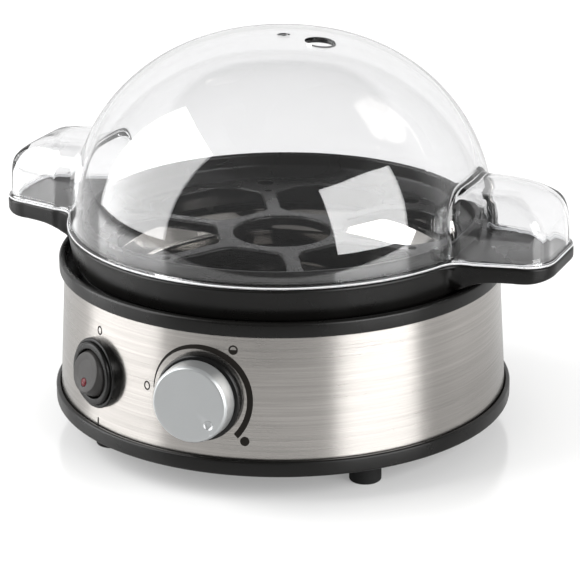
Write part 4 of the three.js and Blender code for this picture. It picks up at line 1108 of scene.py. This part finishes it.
class COOKER_OT_base_pan(CookerOperator):
    """Build the black pan with the ring that shows under the steel"""

    bl_idname = "cooker.base_pan"
    bl_label = "Base pan"

    def build(self, scene):
        floor = PAN_LOW + PAN.floor
        ring_in = PAN_RADIUS - PAN.ring_wall
        ring_top = PAN_LOW + PAN.height
        corners = [(0, PAN_LOW)]
        for rib in PAN_RIB_RADII:
            start, deep = rib - PAN.rib_width, PAN_LOW + PAN.rib_depth
            corners += [(*point, 0.2 * MM) for point in (
                (start, PAN_LOW), (start, deep), (rib, deep), (rib, PAN_LOW))]
        corners += [(PAN_RADIUS, PAN_LOW, 1 * MM), (PAN_RADIUS, ring_top, PAN.round),
                    (ring_in, ring_top, 0.3 * MM), (ring_in, floor, 0.2 * MM), (0, floor)]
        wells = []
        for low, high in [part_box(name) for name in nodes if name.startswith("case_screw_")]:
            middle = (low + high) / 2
            well = circle(PAN.well, SLOT_STEPS, middle.x, middle.y)
            wells.append(upright(well, PAN_LOW - TOOL.under, PAN_LOW + PAN.well_depth))
        dressed("base_pan", carved(spun(filleted(corners)), wells), [finish(plastic, "satin_black")],
                "base")


def cone_normals(mesh):
    """Set the steel's shading to the true cone, so that the cut holes leave no ripples."""
    lean_in, lean_up = math.cos(BAND_SLOPE), math.sin(BAND_SLOPE)
    normals = []
    for polygon in mesh.polygons:
        for index in polygon.vertices:
            place = mesh.vertices[index].co
            flat = Vector((place.x, place.y, 0)).normalized()
            true = Vector((flat.x * lean_in, flat.y * lean_in, lean_up))
            facing = polygon.normal.dot(true)
            if abs(facing) > SHEET_FACING:
                normals.append(true if facing > 0 else -true)
            else:
                normals.append(polygon.normal.copy())
    mesh.normals_split_custom_set(normals)


class COOKER_OT_steel_band(CookerOperator):
    """Build the brushed steel band with its holes for dial, switch and gland"""

    bl_idname = "cooker.steel_band"
    bl_label = "Steel band"

    def build(self, scene):
        up = [BAND_LOW + (BAND_HIGH - BAND_LOW) * k / BAND_ROWS for k in range(BAND_ROWS + 1)]
        outline = []
        for heights, shift, fold in ((up, 0, -BAND.round), (up[::-1], -BAND.sheet, BAND.round)):
            for k, z in enumerate(heights):
                r = band_radius(z) + shift
                if k not in (0, BAND_ROWS):
                    outline.append((r, z))
                    continue
                inward = BAND.round if z < (BAND_LOW + BAND_HIGH) / 2 else -BAND.round
                steps = [(r + fold, z), (r + fold * BAND_FOLD_SHARE, z + inward * BAND_FOLD_SHARE),
                         (r, z + inward)]
                outline += steps if k == 0 else steps[::-1]
        holes = [moved(upright(circle(radius, MARK_STEPS), -TOOL.hole, TOOL.hole), place)
                 for place, radius in ((dial_place(), BAND.dial_hole), (switch_place(), BAND.switch_hole),
                                       (gland_place(), BAND.gland_hole))]
        band = carved(spun(outline), holes)
        piece = dressed("steel_band", band, [finish(brushed_steel)], "base")
        cone_normals(piece.data)


class COOKER_OT_upper_rim(CookerOperator):
    """Build the black rim with its dark channel, tray seat and ledge"""

    bl_idname = "cooker.upper_rim"
    bl_label = "Upper rim"

    def build(self, scene):
        floor = RIM_HIGH - RIM.channel
        seat = floor + RIM.seat_rise
        skirt = BAND_TOP_RADIUS - BAND.sheet - GAP
        inner = RIM_RADIUS - RIM.wall
        ledge = PLATE_LOW + (PLATE_HIGH - PLATE_LOW) * RIM_LEDGE_SHARE
        ledge_low = ledge - RIM.ledge_thick
        ledge_in, collar = RIM.throat - RIM.ledge, RIM.throat + RIM.collar
        deck = floor - RIM.deck
        low = RIM_LOW - RIM.skirt_drop
        under = [(*point, 0.2 * MM) for point in (
            (RIM.throat, ledge), (ledge_in, ledge), (ledge_in, ledge_low), (collar, ledge_low),
            (collar, deck), (skirt - RIM.skirt, deck), (skirt - RIM.skirt, low), (skirt, low))]
        outline = filleted([
            (skirt, RIM_LOW), (RIM_RADIUS, RIM_LOW, 0.7 * MM), (RIM_RADIUS, RIM_HIGH, RIM.round),
            (inner, RIM_HIGH, 0.5 * MM), (inner, floor, 0.5 * MM), (RIM.seat_radius, floor, 0.5 * MM),
            (RIM.seat_radius, seat, 0.4 * MM), (RIM.throat, seat, 0.4 * MM), *under, (skirt, RIM_LOW)], 6)
        dressed("upper_rim", spun(outline), [finish(plastic, "satin_black")], "base")


class COOKER_OT_heating_plate(CookerOperator):
    """Build the water bowl"""

    bl_idname = "cooker.heating_plate"
    bl_label = "Heating plate"

    def build(self, scene):
        floor = PLATE_LOW + PLATE.sheet
        mouth = RIM.throat - RIM.ledge - GAP - PLATE.sheet
        edge = mouth - PLATE.slope
        lip = PLATE_HIGH - PLATE.sheet
        outline = filleted([
            (0, floor + PLATE.dome), (PLATE.dome_radius, floor + PLATE.dome, 8 * MM),
            (PLATE.dome_foot, floor, 4 * MM), (edge, floor, 3 * MM), (mouth, PLATE_HIGH, 1.4 * MM),
            (PLATE_RADIUS, PLATE_HIGH, 0.3 * MM), (PLATE_RADIUS, lip, 0.3 * MM),
            (mouth + PLATE.sheet, lip, 0.6 * MM), (edge + PLATE.sheet, PLATE_LOW, 3 * MM), (0, PLATE_LOW)], 6)
        dressed("heating_plate", spun(outline), [finish(coated_plate)], "base")


class COOKER_OT_egg_tray(CookerOperator):
    """Build the egg tray: skirt, handles, collar, egg plate and sleeves"""

    bl_idname = "cooker.egg_tray"
    bl_label = "Egg tray"

    def build(self, scene):
        lip = scene.cooker_sizes.lip
        plate_top = TRAY_LAND - TRAY.plate_drop
        plate_under = plate_top - TRAY.plate_thick
        low = plate_under - EGG.sleeve_depth
        angles = plan_angles()
        outline = plan_radius(angles)
        low_z = RIM_HIGH + HANDLE.clear
        tray = lofted(tray_top(angles, outline, plate_top) + tray_side(angles, outline, low_z)
                      + tray_foot(angles, low_z, plate_under), closed=False)
        sleeves, tools = [], []
        for opening, turn, rounding, sleeved in tray_openings(lip):
            spin = Matrix.Rotation(turn, 4, "Z")
            if sleeved:
                ring = grown(opening, EGG.sleeve_wall)
                tip = grown(opening, EGG.sleeve_wall - EGG.sleeve_edge)
                sleeves.append(moved(capped([raised(tip, low), raised(ring, low + EGG.sleeve_edge),
                                             raised(ring, plate_under + EGG.sleeve_root)]), spin))
            tools.append(moved(hole_cutter(opening, low - TOOL.under, plate_top, rounding), spin))
        tray = moved(carved(carved(tray, sleeves, "UNION"), tools), TRAY_TURN)
        looks = [finish(plastic, name) for name in ("satin_black", "egg_plate_matt", "gloss_black")]
        piece = dressed("egg_tray", tray, looks, "tray", sharp_degrees=30)
        for polygon in piece.data.polygons:
            place = polygon.center
            if math.hypot(place.x, place.y) < TRAY.plate_radius + 0.5 * MM:
                polygon.material_index = 1 if place.z > plate_top - lip - 0.05 * MM else 2


class COOKER_OT_lid(CookerOperator):
    """Build the clear domed lid with its ear boxes, stepped flange, vent and gate mark"""

    bl_idname = "cooker.lid"
    bl_label = "Lid"

    def build(self, scene):
        shell = lofted(lid_rings(plan_angles(), scene.cooker_sizes.lid_sheet))
        vent = upright(circle(VENT_RADIUS, 64, *VENT_PLACE), CROWN - TOOL.vent_down, CROWN + TOOL.vent_up)
        gate = spun([
            (0, CROWN - 0.15 * MM), (0.5 * MM, CROWN - 0.2 * MM), (1 * MM, CROWN - GATE.depth),
            (GATE.radius - 0.4 * MM, CROWN - GATE.depth), (GATE.radius, CROWN),
            (GATE.radius, CROWN + TOOL.over), (0, CROWN + TOOL.over)], SMALL_STEPS)
        lid = moved(carved(shell, [vent, moved(gate, shifted(*GATE_PLACE))]), TRAY_TURN)
        looks = [finish(clear_plastic), finish(bright_edge)]
        piece = dressed("lid", lid, looks, "lid", sharp_degrees=40)
        # Faces round the flange's two rounded edges get the painted highlight.
        steps = [LID_FOOT + LID.edge / 2, LID_FOOT + LID.step_height - LID.edge / 2]
        for polygon in piece.data.polygons:
            place = polygon.center
            outside = math.hypot(place.x, place.y) > TRAY.radius - LID.step_width
            if outside and min(abs(place.z - step) for step in steps) < LID.edge / 4:
                polygon.material_index = 1


def steel_solid(place):
    """Solid cone just inside the band's outer face, in the frame of a place on it."""
    low, high = BAND_LOW - TOOL.cone, BAND_HIGH + TOOL.cone
    cone = spun([(0, low), (band_radius(low) - BAND.fittings_in, low),
                 (band_radius(high) - BAND.fittings_in, high), (0, high)])
    return moved(cone, place.inverted())


class COOKER_OT_dial(CookerOperator):
    """Build the dial: silver cap with its dimple, and the glossy collar behind it"""

    bl_idname = "cooker.dial"
    bl_label = "Dial"

    def build(self, scene):
        place = dial_place()
        back = COLLAR.proud + GAP
        face = back + CAP.height
        bevel = scene.cooker_sizes.cap_bevel
        shoulder = CAP.radius - CAP.taper
        inside = CAP.radius - CAP.wall
        cap = spun(filleted([
            (0, face), (shoulder - bevel - 0.6 * MM, face), (shoulder - bevel * 0.6, face, 0.8 * MM),
            (shoulder, face - bevel, 1.1 * MM), (CAP.radius, back, 0.3 * MM), (inside, back, 0.2 * MM),
            (inside, face - CAP.wall, 0.5 * MM), (0, face - CAP.wall)], 8), FINE_KNOB_STEPS)
        rim = DIMPLE.radius + DIMPLE.lip
        cup = filleted([
            (0, face - DIMPLE.depth), (DIMPLE.radius * 0.75, face - DIMPLE.depth * 0.95, 0.8 * MM),
            (DIMPLE.radius, face - 0.3 * MM, 0.25 * MM), (rim, face - 0.02 * MM),
            (rim, face + TOOL.dimple), (0, face + TOOL.dimple)])
        dimple = moved(spun(cup, MARK_STEPS), shifted(*polar(DIMPLE.circle, DIMPLE_DEGREES)))
        cap = moved(carved(cap, [dimple]), place)
        dressed("dial_cap", cap, [finish(satin_silver)], "dial", sharp_degrees=24)

        ring = spun(filleted([
            (COLLAR.bore, COLLAR.root), (COLLAR.radius, COLLAR.root),
            (COLLAR.radius, COLLAR.proud, COLLAR.round), (COLLAR.recess, COLLAR.proud, 0.3 * MM),
            (COLLAR.recess, COLLAR.web, 0.3 * MM), (COLLAR.bore, COLLAR.web),
            (COLLAR.bore, COLLAR.root)], 8), FINE_KNOB_STEPS)
        ring = moved(carved(ring, [steel_solid(place)]), place)
        dressed("dial_collar", ring, [finish(plastic, "collar_black")], "base")


class COOKER_OT_switch(CookerOperator):
    """Build the rocker switch: stepped bezel, rocker and red lens"""

    bl_idname = "cooker.switch"
    bl_label = "Switch"

    def build(self, scene):
        place = switch_place()
        swing = place @ shifted(0, 0, ROCKER.pivot) @ Matrix.Rotation(ROCKER_TILT, 4, "X")
        housing = moved(self.housing(place), place)
        dressed("switch_housing", housing, [finish(plastic, "satin_black")], "base")
        dressed("switch_rocker", moved(self.rocker(), swing), [finish(plastic, "rocker_grey")],
                "rocker")
        dressed("rocker_lens", moved(self.lens(), swing @ shifted(0, -LENS.drop)), [finish(red_lens)],
                "rocker")

    def housing(self, place):
        floor = BEZEL.proud - BEZEL.well_depth
        groove = BEZEL.step_radius + BEZEL.groove / 2
        groove_z = BEZEL.step_proud - BEZEL.groove
        bezel = spun(filleted([
            (BEZEL.well, floor, 0.4 * MM), (BEZEL.well, BEZEL.proud, 0.7 * MM),
            (BEZEL.step_radius, BEZEL.proud, 1.5 * MM), (BEZEL.step_radius, groove_z, 0.1 * MM),
            (groove, groove_z, 0.1 * MM), (groove, BEZEL.step_proud, 0.15 * MM),
            (BEZEL.radius, BEZEL.step_proud, 1.6 * MM), (BEZEL.radius, BEZEL.root), (0, BEZEL.root),
            (0, floor), (BEZEL.well, floor)], 7), FINE_KNOB_STEPS)
        body = cylinder(BEZEL.body, BEZEL.body_end, floor - 0.2 * MM, KNOB_STEPS)
        core = cylinder(BEZEL.well - 0.5 * MM, floor - TOOL.core_down, floor + TOOL.core_up, KNOB_STEPS)
        front = carved(bezel, [steel_solid(place), core])
        bm = bmesh.new()
        for mesh in (front, body):
            bm.from_mesh(mesh)
            bpy.data.meshes.remove(mesh)
        both = bpy.data.meshes.new("form")
        bm.to_mesh(both)
        bm.free()
        return both

    def rocker(self):
        ball = math.hypot(ROCKER.face, ROCKER.rise)
        low = -math.asin(ROCKER.drop / ball)
        high = math.asin(ROCKER.rise / ball)
        turns = [low + (high - low) * k / FLANK_STEPS for k in range(FLANK_STEPS)]
        dish = ROCKER.rise - ROCKER.dish
        body = spun(filleted([(0, -ROCKER.drop), *((ball * math.cos(a), ball * math.sin(a)) for a in turns),
                              (ROCKER.face, ROCKER.rise, ROCKER.edge), (ROCKER.dish_radius, dish, 3 * MM),
                              (0, dish)]), KNOB_STEPS)
        seat = cylinder(LENS.radius + LENS.gap, ROCKER.rise - LENS.seat, TOOL.lens_top, SMALL_STEPS)
        return carved(body, [moved(seat, shifted(0, -LENS.drop))])

    def lens(self):
        crown = ROCKER.rise + LENS.proud
        foot = ROCKER.rise - LENS.thick
        return spun(filleted([
            (0, foot), (LENS.radius, foot, 0.1 * MM), (LENS.radius, crown - 0.35 * MM, 0.3 * MM),
            (LENS.radius * 0.5, crown, 1 * MM), (0, crown)]), SMALL_STEPS)


def on_steel(place, x, y, lift):
    """Point on the band's face, measured right and up from a place on it and lifted off it."""
    flat = place @ Vector((x, y, 0))
    around = math.atan2(flat.y, flat.x)
    r = band_radius(flat.z) + lift
    return Vector((r * math.cos(around), r * math.sin(around), flat.z))


def inked_strip(place, outer, inner, proud, closed=True):
    """Thin band of ink between two lines of points."""
    rings = [[on_steel(place, xo, yo, INK.sunk), on_steel(place, xo, yo, proud),
              on_steel(place, xi, yi, proud), on_steel(place, xi, yi, INK.sunk)]
             for (xo, yo), (xi, yi) in zip(outer, inner)]
    return lofted(rings) if closed else capped(rings)


def inked_patch(place, outline, proud):
    return capped([[on_steel(place, x, y, lift) for x, y in outline] for lift in (INK.sunk, proud)])


def polar(radius, degrees):
    return radius * math.cos(math.radians(degrees)), radius * math.sin(math.radians(degrees))


class COOKER_OT_markings(CookerOperator):
    """Print the generic marks on the steel: O, I, half circle, dot and the dial's band"""

    bl_idname = "cooker.markings"
    bl_label = "Markings"

    def build(self, scene):
        proud = scene.cooker_sizes.ink
        radius = scene.cooker_sizes.mark
        inner = radius - INK.line
        dial, switch = dial_place(), switch_place()

        def ring(place, x, y, narrow=1.0):
            """Ink between two circles, squeezed sideways by a share."""
            loops = [[(x + (px - x) * narrow, py) for px, py in circle(r, MARK_STEPS, x, y)]
                     for r in (radius, inner)]
            return inked_strip(place, *loops, proud)

        x, y = polar(*HALF_PLACE)
        low_half = [(px, py) for px, py in circle(inner + INK.overlap, MARK_STEPS, x, y) if py <= y + 1e-6]
        half, tall = SWITCH.one_width / 2, SWITCH.one_height / 2
        one = [(px, py - SWITCH.one_down)
               for px, py in ((-half, -tall), (half, -tall), (half, tall), (-half, tall))]
        for name, mesh in {
            "mark_band": self.band(dial, proud),
            "mark_zero": ring(dial, *polar(*ZERO_PLACE), ZERO_NARROW_SHARE),
            "mark_half_ring": ring(dial, x, y),
            "mark_half_fill": inked_patch(dial, low_half, proud),
            "mark_dot": inked_patch(dial, circle(radius, MARK_STEPS, *polar(*DOT_PLACE)), proud),
            "mark_switch_zero": ring(switch, 0, SWITCH.zero_up, ZERO_NARROW_SHARE),
            "mark_switch_one": inked_patch(switch, one, proud),
        }.items():
            add_piece(name, mesh, [finish(printed_ink)], "base")

    def band(self, place, proud):
        """Arc round the dial that grows from its thin end."""
        outer, inner = [], []
        for k in range(ARC_STEPS + 1):
            degrees = ARC_FROM + (ARC_TO - ARC_FROM) * k / ARC_STEPS
            grow = min(1, (ARC_FROM - degrees) / (ARC_FROM - ARC_FULL))
            half = (ARC.thin + (ARC.width - ARC.thin) * grow) / 2
            middle = ARC.outer + ARC.drift * ((degrees - ARC_TOP) / 90) ** 2 - half
            outer.append(polar(middle + half, degrees))
            inner.append(polar(middle - half, degrees))
        return inked_strip(place, outer, inner, proud, closed=False)


class COOKER_OT_cord_gland(CookerOperator):
    """Build the ribbed cord gland at the back"""

    bl_idname = "cooker.cord_gland"
    bl_label = "Cord gland"

    def build(self, scene):
        proud, wide, tip = GLAND.proud, GLAND.wide, GLAND.tip
        corners = [(GLAND.bore, GLAND.root), (wide, GLAND.root, 0.3 * MM),
                   (wide, GLAND.neck_from, 0.3 * MM), (GLAND.neck, GLAND.neck_from, 0.2 * MM),
                   (GLAND.neck, GLAND.neck_to, 0.2 * MM), (wide, GLAND.neck_to, 0.3 * MM),
                   (wide, GLAND.flange, 0.8 * MM)]
        step = (proud - GLAND.tip_land - GLAND.ribs_from) / GLAND_RIBS
        for k in range(GLAND_RIBS):
            z = GLAND.ribs_from + step * k
            r = wide - 0.3 * MM + (tip - wide) * (z / proud)
            corners += [(r - GLAND.groove, z, 0.15 * MM), (r - GLAND.groove, z + step * 0.35, 0.15 * MM),
                        (r, z + step * 0.45, 0.2 * MM), (r, z + step * 0.95, 0.2 * MM)]
        corners += [(tip - 0.3 * MM, proud, 0.6 * MM), (GLAND.bore, proud, 0.5 * MM),
                    (GLAND.bore, GLAND.root)]
        gland = moved(spun(filleted(corners), KNOB_STEPS), gland_place())
        dressed("cord_gland", gland, [finish(plastic, "soft_rubber")], "base")


INNER_LOOKS = {  # material and the nodes, or starts of their names, that have it
    (plated, "zinc_plate"): ("thermostat_strap", "fuse_clip", "dial_nut", "dial_shaft", "case_screw_",
                             "strap_screw_", "board_screw_"),
    (plated, "brass"): ("thermal_fuse", "switch_tag_"),
    (plated, "element_sheath"): ("heating_element",),
    (plastic, "white_plastic"): ("thermostat", "film_capacitor", "terminal_block"),
    (plastic, "grey_plastic"): ("regulator",),
    (plastic, "dark_plastic"): ("relay", "buzzer"),
    (plastic, "silicone"): ("plate_seal",),
    (solder_mask,): ("control_board",),
}


class COOKER_OT_inner_pieces(CookerOperator):
    """Finish the pieces inside the case, which keep their CAD shape"""

    bl_idname = "cooker.inner_pieces"
    bl_label = "Inner pieces"

    def build(self, scene):
        for look, names in INNER_LOOKS.items():
            for node in nodes:
                if any(node == name or name.endswith("_") and node.startswith(name) for name in names):
                    dress(node, finish(*look))


def lamp_panel(name, radiance):
    """Soft panel that stands round the object and leans over it; the camera sees it in reflections only."""
    azimuth, distance, low, width, height, lean, part = PANELS[name]
    azimuth, lean = math.radians(azimuth), math.radians(lean)
    light = bpy.data.lights.new(name, "AREA")
    light.shape = "RECTANGLE"
    light.size = width
    light.size_y = height
    light.energy = radiance * part * math.pi * width * height
    lamp = linked(name, light)
    out = Vector((math.sin(azimuth), -math.cos(azimuth), 0))
    right = Vector((-out.y, out.x, 0))
    up = Vector((-out.x * math.sin(lean), -out.y * math.sin(lean), math.cos(lean)))
    facing = right.cross(up)
    place = placed(out * distance + Vector((0, 0, low + height / 2 * math.cos(lean))), right, up, facing)
    if facing.dot(out) < 0:
        place = place @ Matrix.Rotation(math.pi, 4, "Y")
    lamp.matrix_world = place
    lamp.visible_camera = False
    return lamp


def floor_material(studio):
    """Pale floor with a soft gloss; it glows a little for what is seen, so that it stays white, and glows
    less close to the object: a painted shade round its foot.
    """
    material, wires, shader, output = new_material("pale_floor")
    cloud = wires.use(handling, Smudges_per_metre=3.0)["Mask"]
    wires.fill(shader, {
        "Base Color": wires.tones(cloud, tuple(studio.floor), 1.0, 0.992),
        "Roughness": wires.ramp(cloud, 0.0, 1.0, 0.14, 0.18),
        "IOR": 1.7})
    path = wires.add("ShaderNodeLightPath").outputs
    seen = wires.math("MAXIMUM", path["Is Camera Ray"], path["Is Transmission Ray"])
    away = wires.vector("LENGTH", wires.coordinates())["Value"]
    # Less glow near the axis: painted shade on the floor round the object.
    added = wires.ramp(away, PAINTED_SHADE_FULL_TO, FULL_GLOW_FROM, studio.painted_shade_glow, studio.glow)
    glow = wires.add("ShaderNodeEmission", {"Color": (1, 1, 1), "Strength": wires.times(seen, added)})
    both = wires.add("ShaderNodeAddShader", {0: shader.outputs[0], 1: glow.outputs[0]})
    wires.fill(output, {"Surface": both.outputs[0]})
    return material


def room(studio):
    """World: white where it is seen, soft grey overhead in reflections, even light for the rest."""
    world = bpy.data.worlds.new("studio_room")
    world.use_nodes = True
    wires = Wiring(world.node_tree)
    output = wires.add("ShaderNodeOutputWorld")
    way = wires.coordinates("Generated")
    height = wires.add("ShaderNodeSeparateXYZ", {"Vector": way}).outputs["Z"]
    camera_way = (math.sin(-studio.azimuth), math.cos(studio.azimuth), 0)
    behind = wires.ramp(wires.vector("DOT_PRODUCT", way, camera_way)["Value"], *WALL_SIDE)
    high = wires.ramp(height, *WALL_ENDS)
    wall = wires.times(behind, wires.math("SUBTRACT", 1.0, high))
    dark = wires.ramp(height, *CEILING_RAMP)
    path = wires.add("ShaderNodeLightPath").outputs
    through = wires.times(path["Is Transmission Ray"], THROUGH_LID)
    round_lid = wires.times(through, wires.math("SUBTRACT", 1.0, high))
    mirrored = wires.math("MAXIMUM", wires.math("MAXIMUM", wall, dark), round_lid)
    seen = wires.math("MAXIMUM", path["Is Glossy Ray"], path["Is Transmission Ray"])
    strength = wires.choose(path["Is Camera Ray"], wires.choose(seen, studio.ambient, mirrored), 1.0)
    light = wires.add("ShaderNodeBackground", {"Color": (1, 1, 1), "Strength": strength})
    wires.fill(output, {"Surface": light.outputs[0]})
    return world


class COOKER_OT_stage(CookerOperator):
    """Set the floor, the soft panels, the room's light and the camera"""

    bl_idname = "cooker.stage"
    bl_label = "Stage"

    def build(self, scene):
        studio = scene.cooker_studio
        floor = upright(rounded_loop(FLOOR_CORNERS, FLOOR_ROUND, steps=12), -FLOOR_THICK, 0.0)
        moved(floor, Matrix.Rotation(studio.azimuth, 4, "Z"))
        floor.materials.append(floor_material(studio))
        ground = linked("studio_floor", floor)
        left, right = (lamp_panel(name, studio.panel) for name in PANELS)

        turn = Matrix.Rotation(studio.azimuth, 3, "Z")
        ahead = (turn @ Vector(CAMERA_AHEAD)).normalized()
        across = ahead.cross(Vector((0, 0, 1))).normalized()
        up = across.cross(ahead)
        roll = math.radians(CAMERA_ROLL)
        camera = linked("camera", bpy.data.cameras.new("camera"))
        camera.matrix_world = placed(
            turn @ Vector(CAMERA_PLACE), across * math.cos(roll) + up * math.sin(roll),
            up * math.cos(roll) - across * math.sin(roll), -ahead)
        camera.data.sensor_width = SENSOR_WIDTH
        camera.data.lens = studio.focal
        camera.data.clip_end = CLIP_END
        scene.camera = camera
        scene.world = room(studio)
        scene.view_settings.view_transform = "Standard"


class COOKER_PT_panel(bpy.types.Panel):
    """Sizes, finishes and studio of the egg cooker"""

    bl_idname = "COOKER_PT_panel"
    bl_label = "Egg cooker"
    bl_space_type = "VIEW_3D"
    bl_region_type = "UI"
    bl_category = "Egg cooker"

    def draw(self, context):
        for key in SETTINGS:
            settings = getattr(context.scene, key)
            box = self.layout.box()
            for name in settings.bl_rna.properties.keys():
                if name not in ("rna_type", "name"):
                    box.prop(settings, name)
        for operator in OPERATORS:
            self.layout.operator(operator.bl_idname)


OPERATORS = (
    COOKER_OT_feet, COOKER_OT_base_pan, COOKER_OT_steel_band, COOKER_OT_upper_rim, COOKER_OT_heating_plate,
    COOKER_OT_egg_tray, COOKER_OT_lid, COOKER_OT_dial, COOKER_OT_switch, COOKER_OT_markings,
    COOKER_OT_cord_gland, COOKER_OT_inner_pieces, COOKER_OT_stage,
)
SETTINGS = {"cooker_sizes": CookerSizes, "cooker_finishes": CookerFinishes, "cooker_studio": CookerStudio}


def register():
    for name, group in SETTINGS.items():
        bpy.utils.register_class(group)
        setattr(bpy.types.Scene, name, bpy.props.PointerProperty(type=group))
    for item in (*OPERATORS, COOKER_PT_panel):
        bpy.utils.register_class(item)


def unregister():
    for item in reversed((*OPERATORS, COOKER_PT_panel)):
        bpy.utils.unregister_class(item)
    for name, group in SETTINGS.items():
        delattr(bpy.types.Scene, name)
        bpy.utils.unregister_class(group)


def main():
    register()
    for operator in OPERATORS:
        family, name = operator.bl_idname.split(".")
        getattr(getattr(bpy.ops, family), name)()


if __name__ == "__main__":
    main()
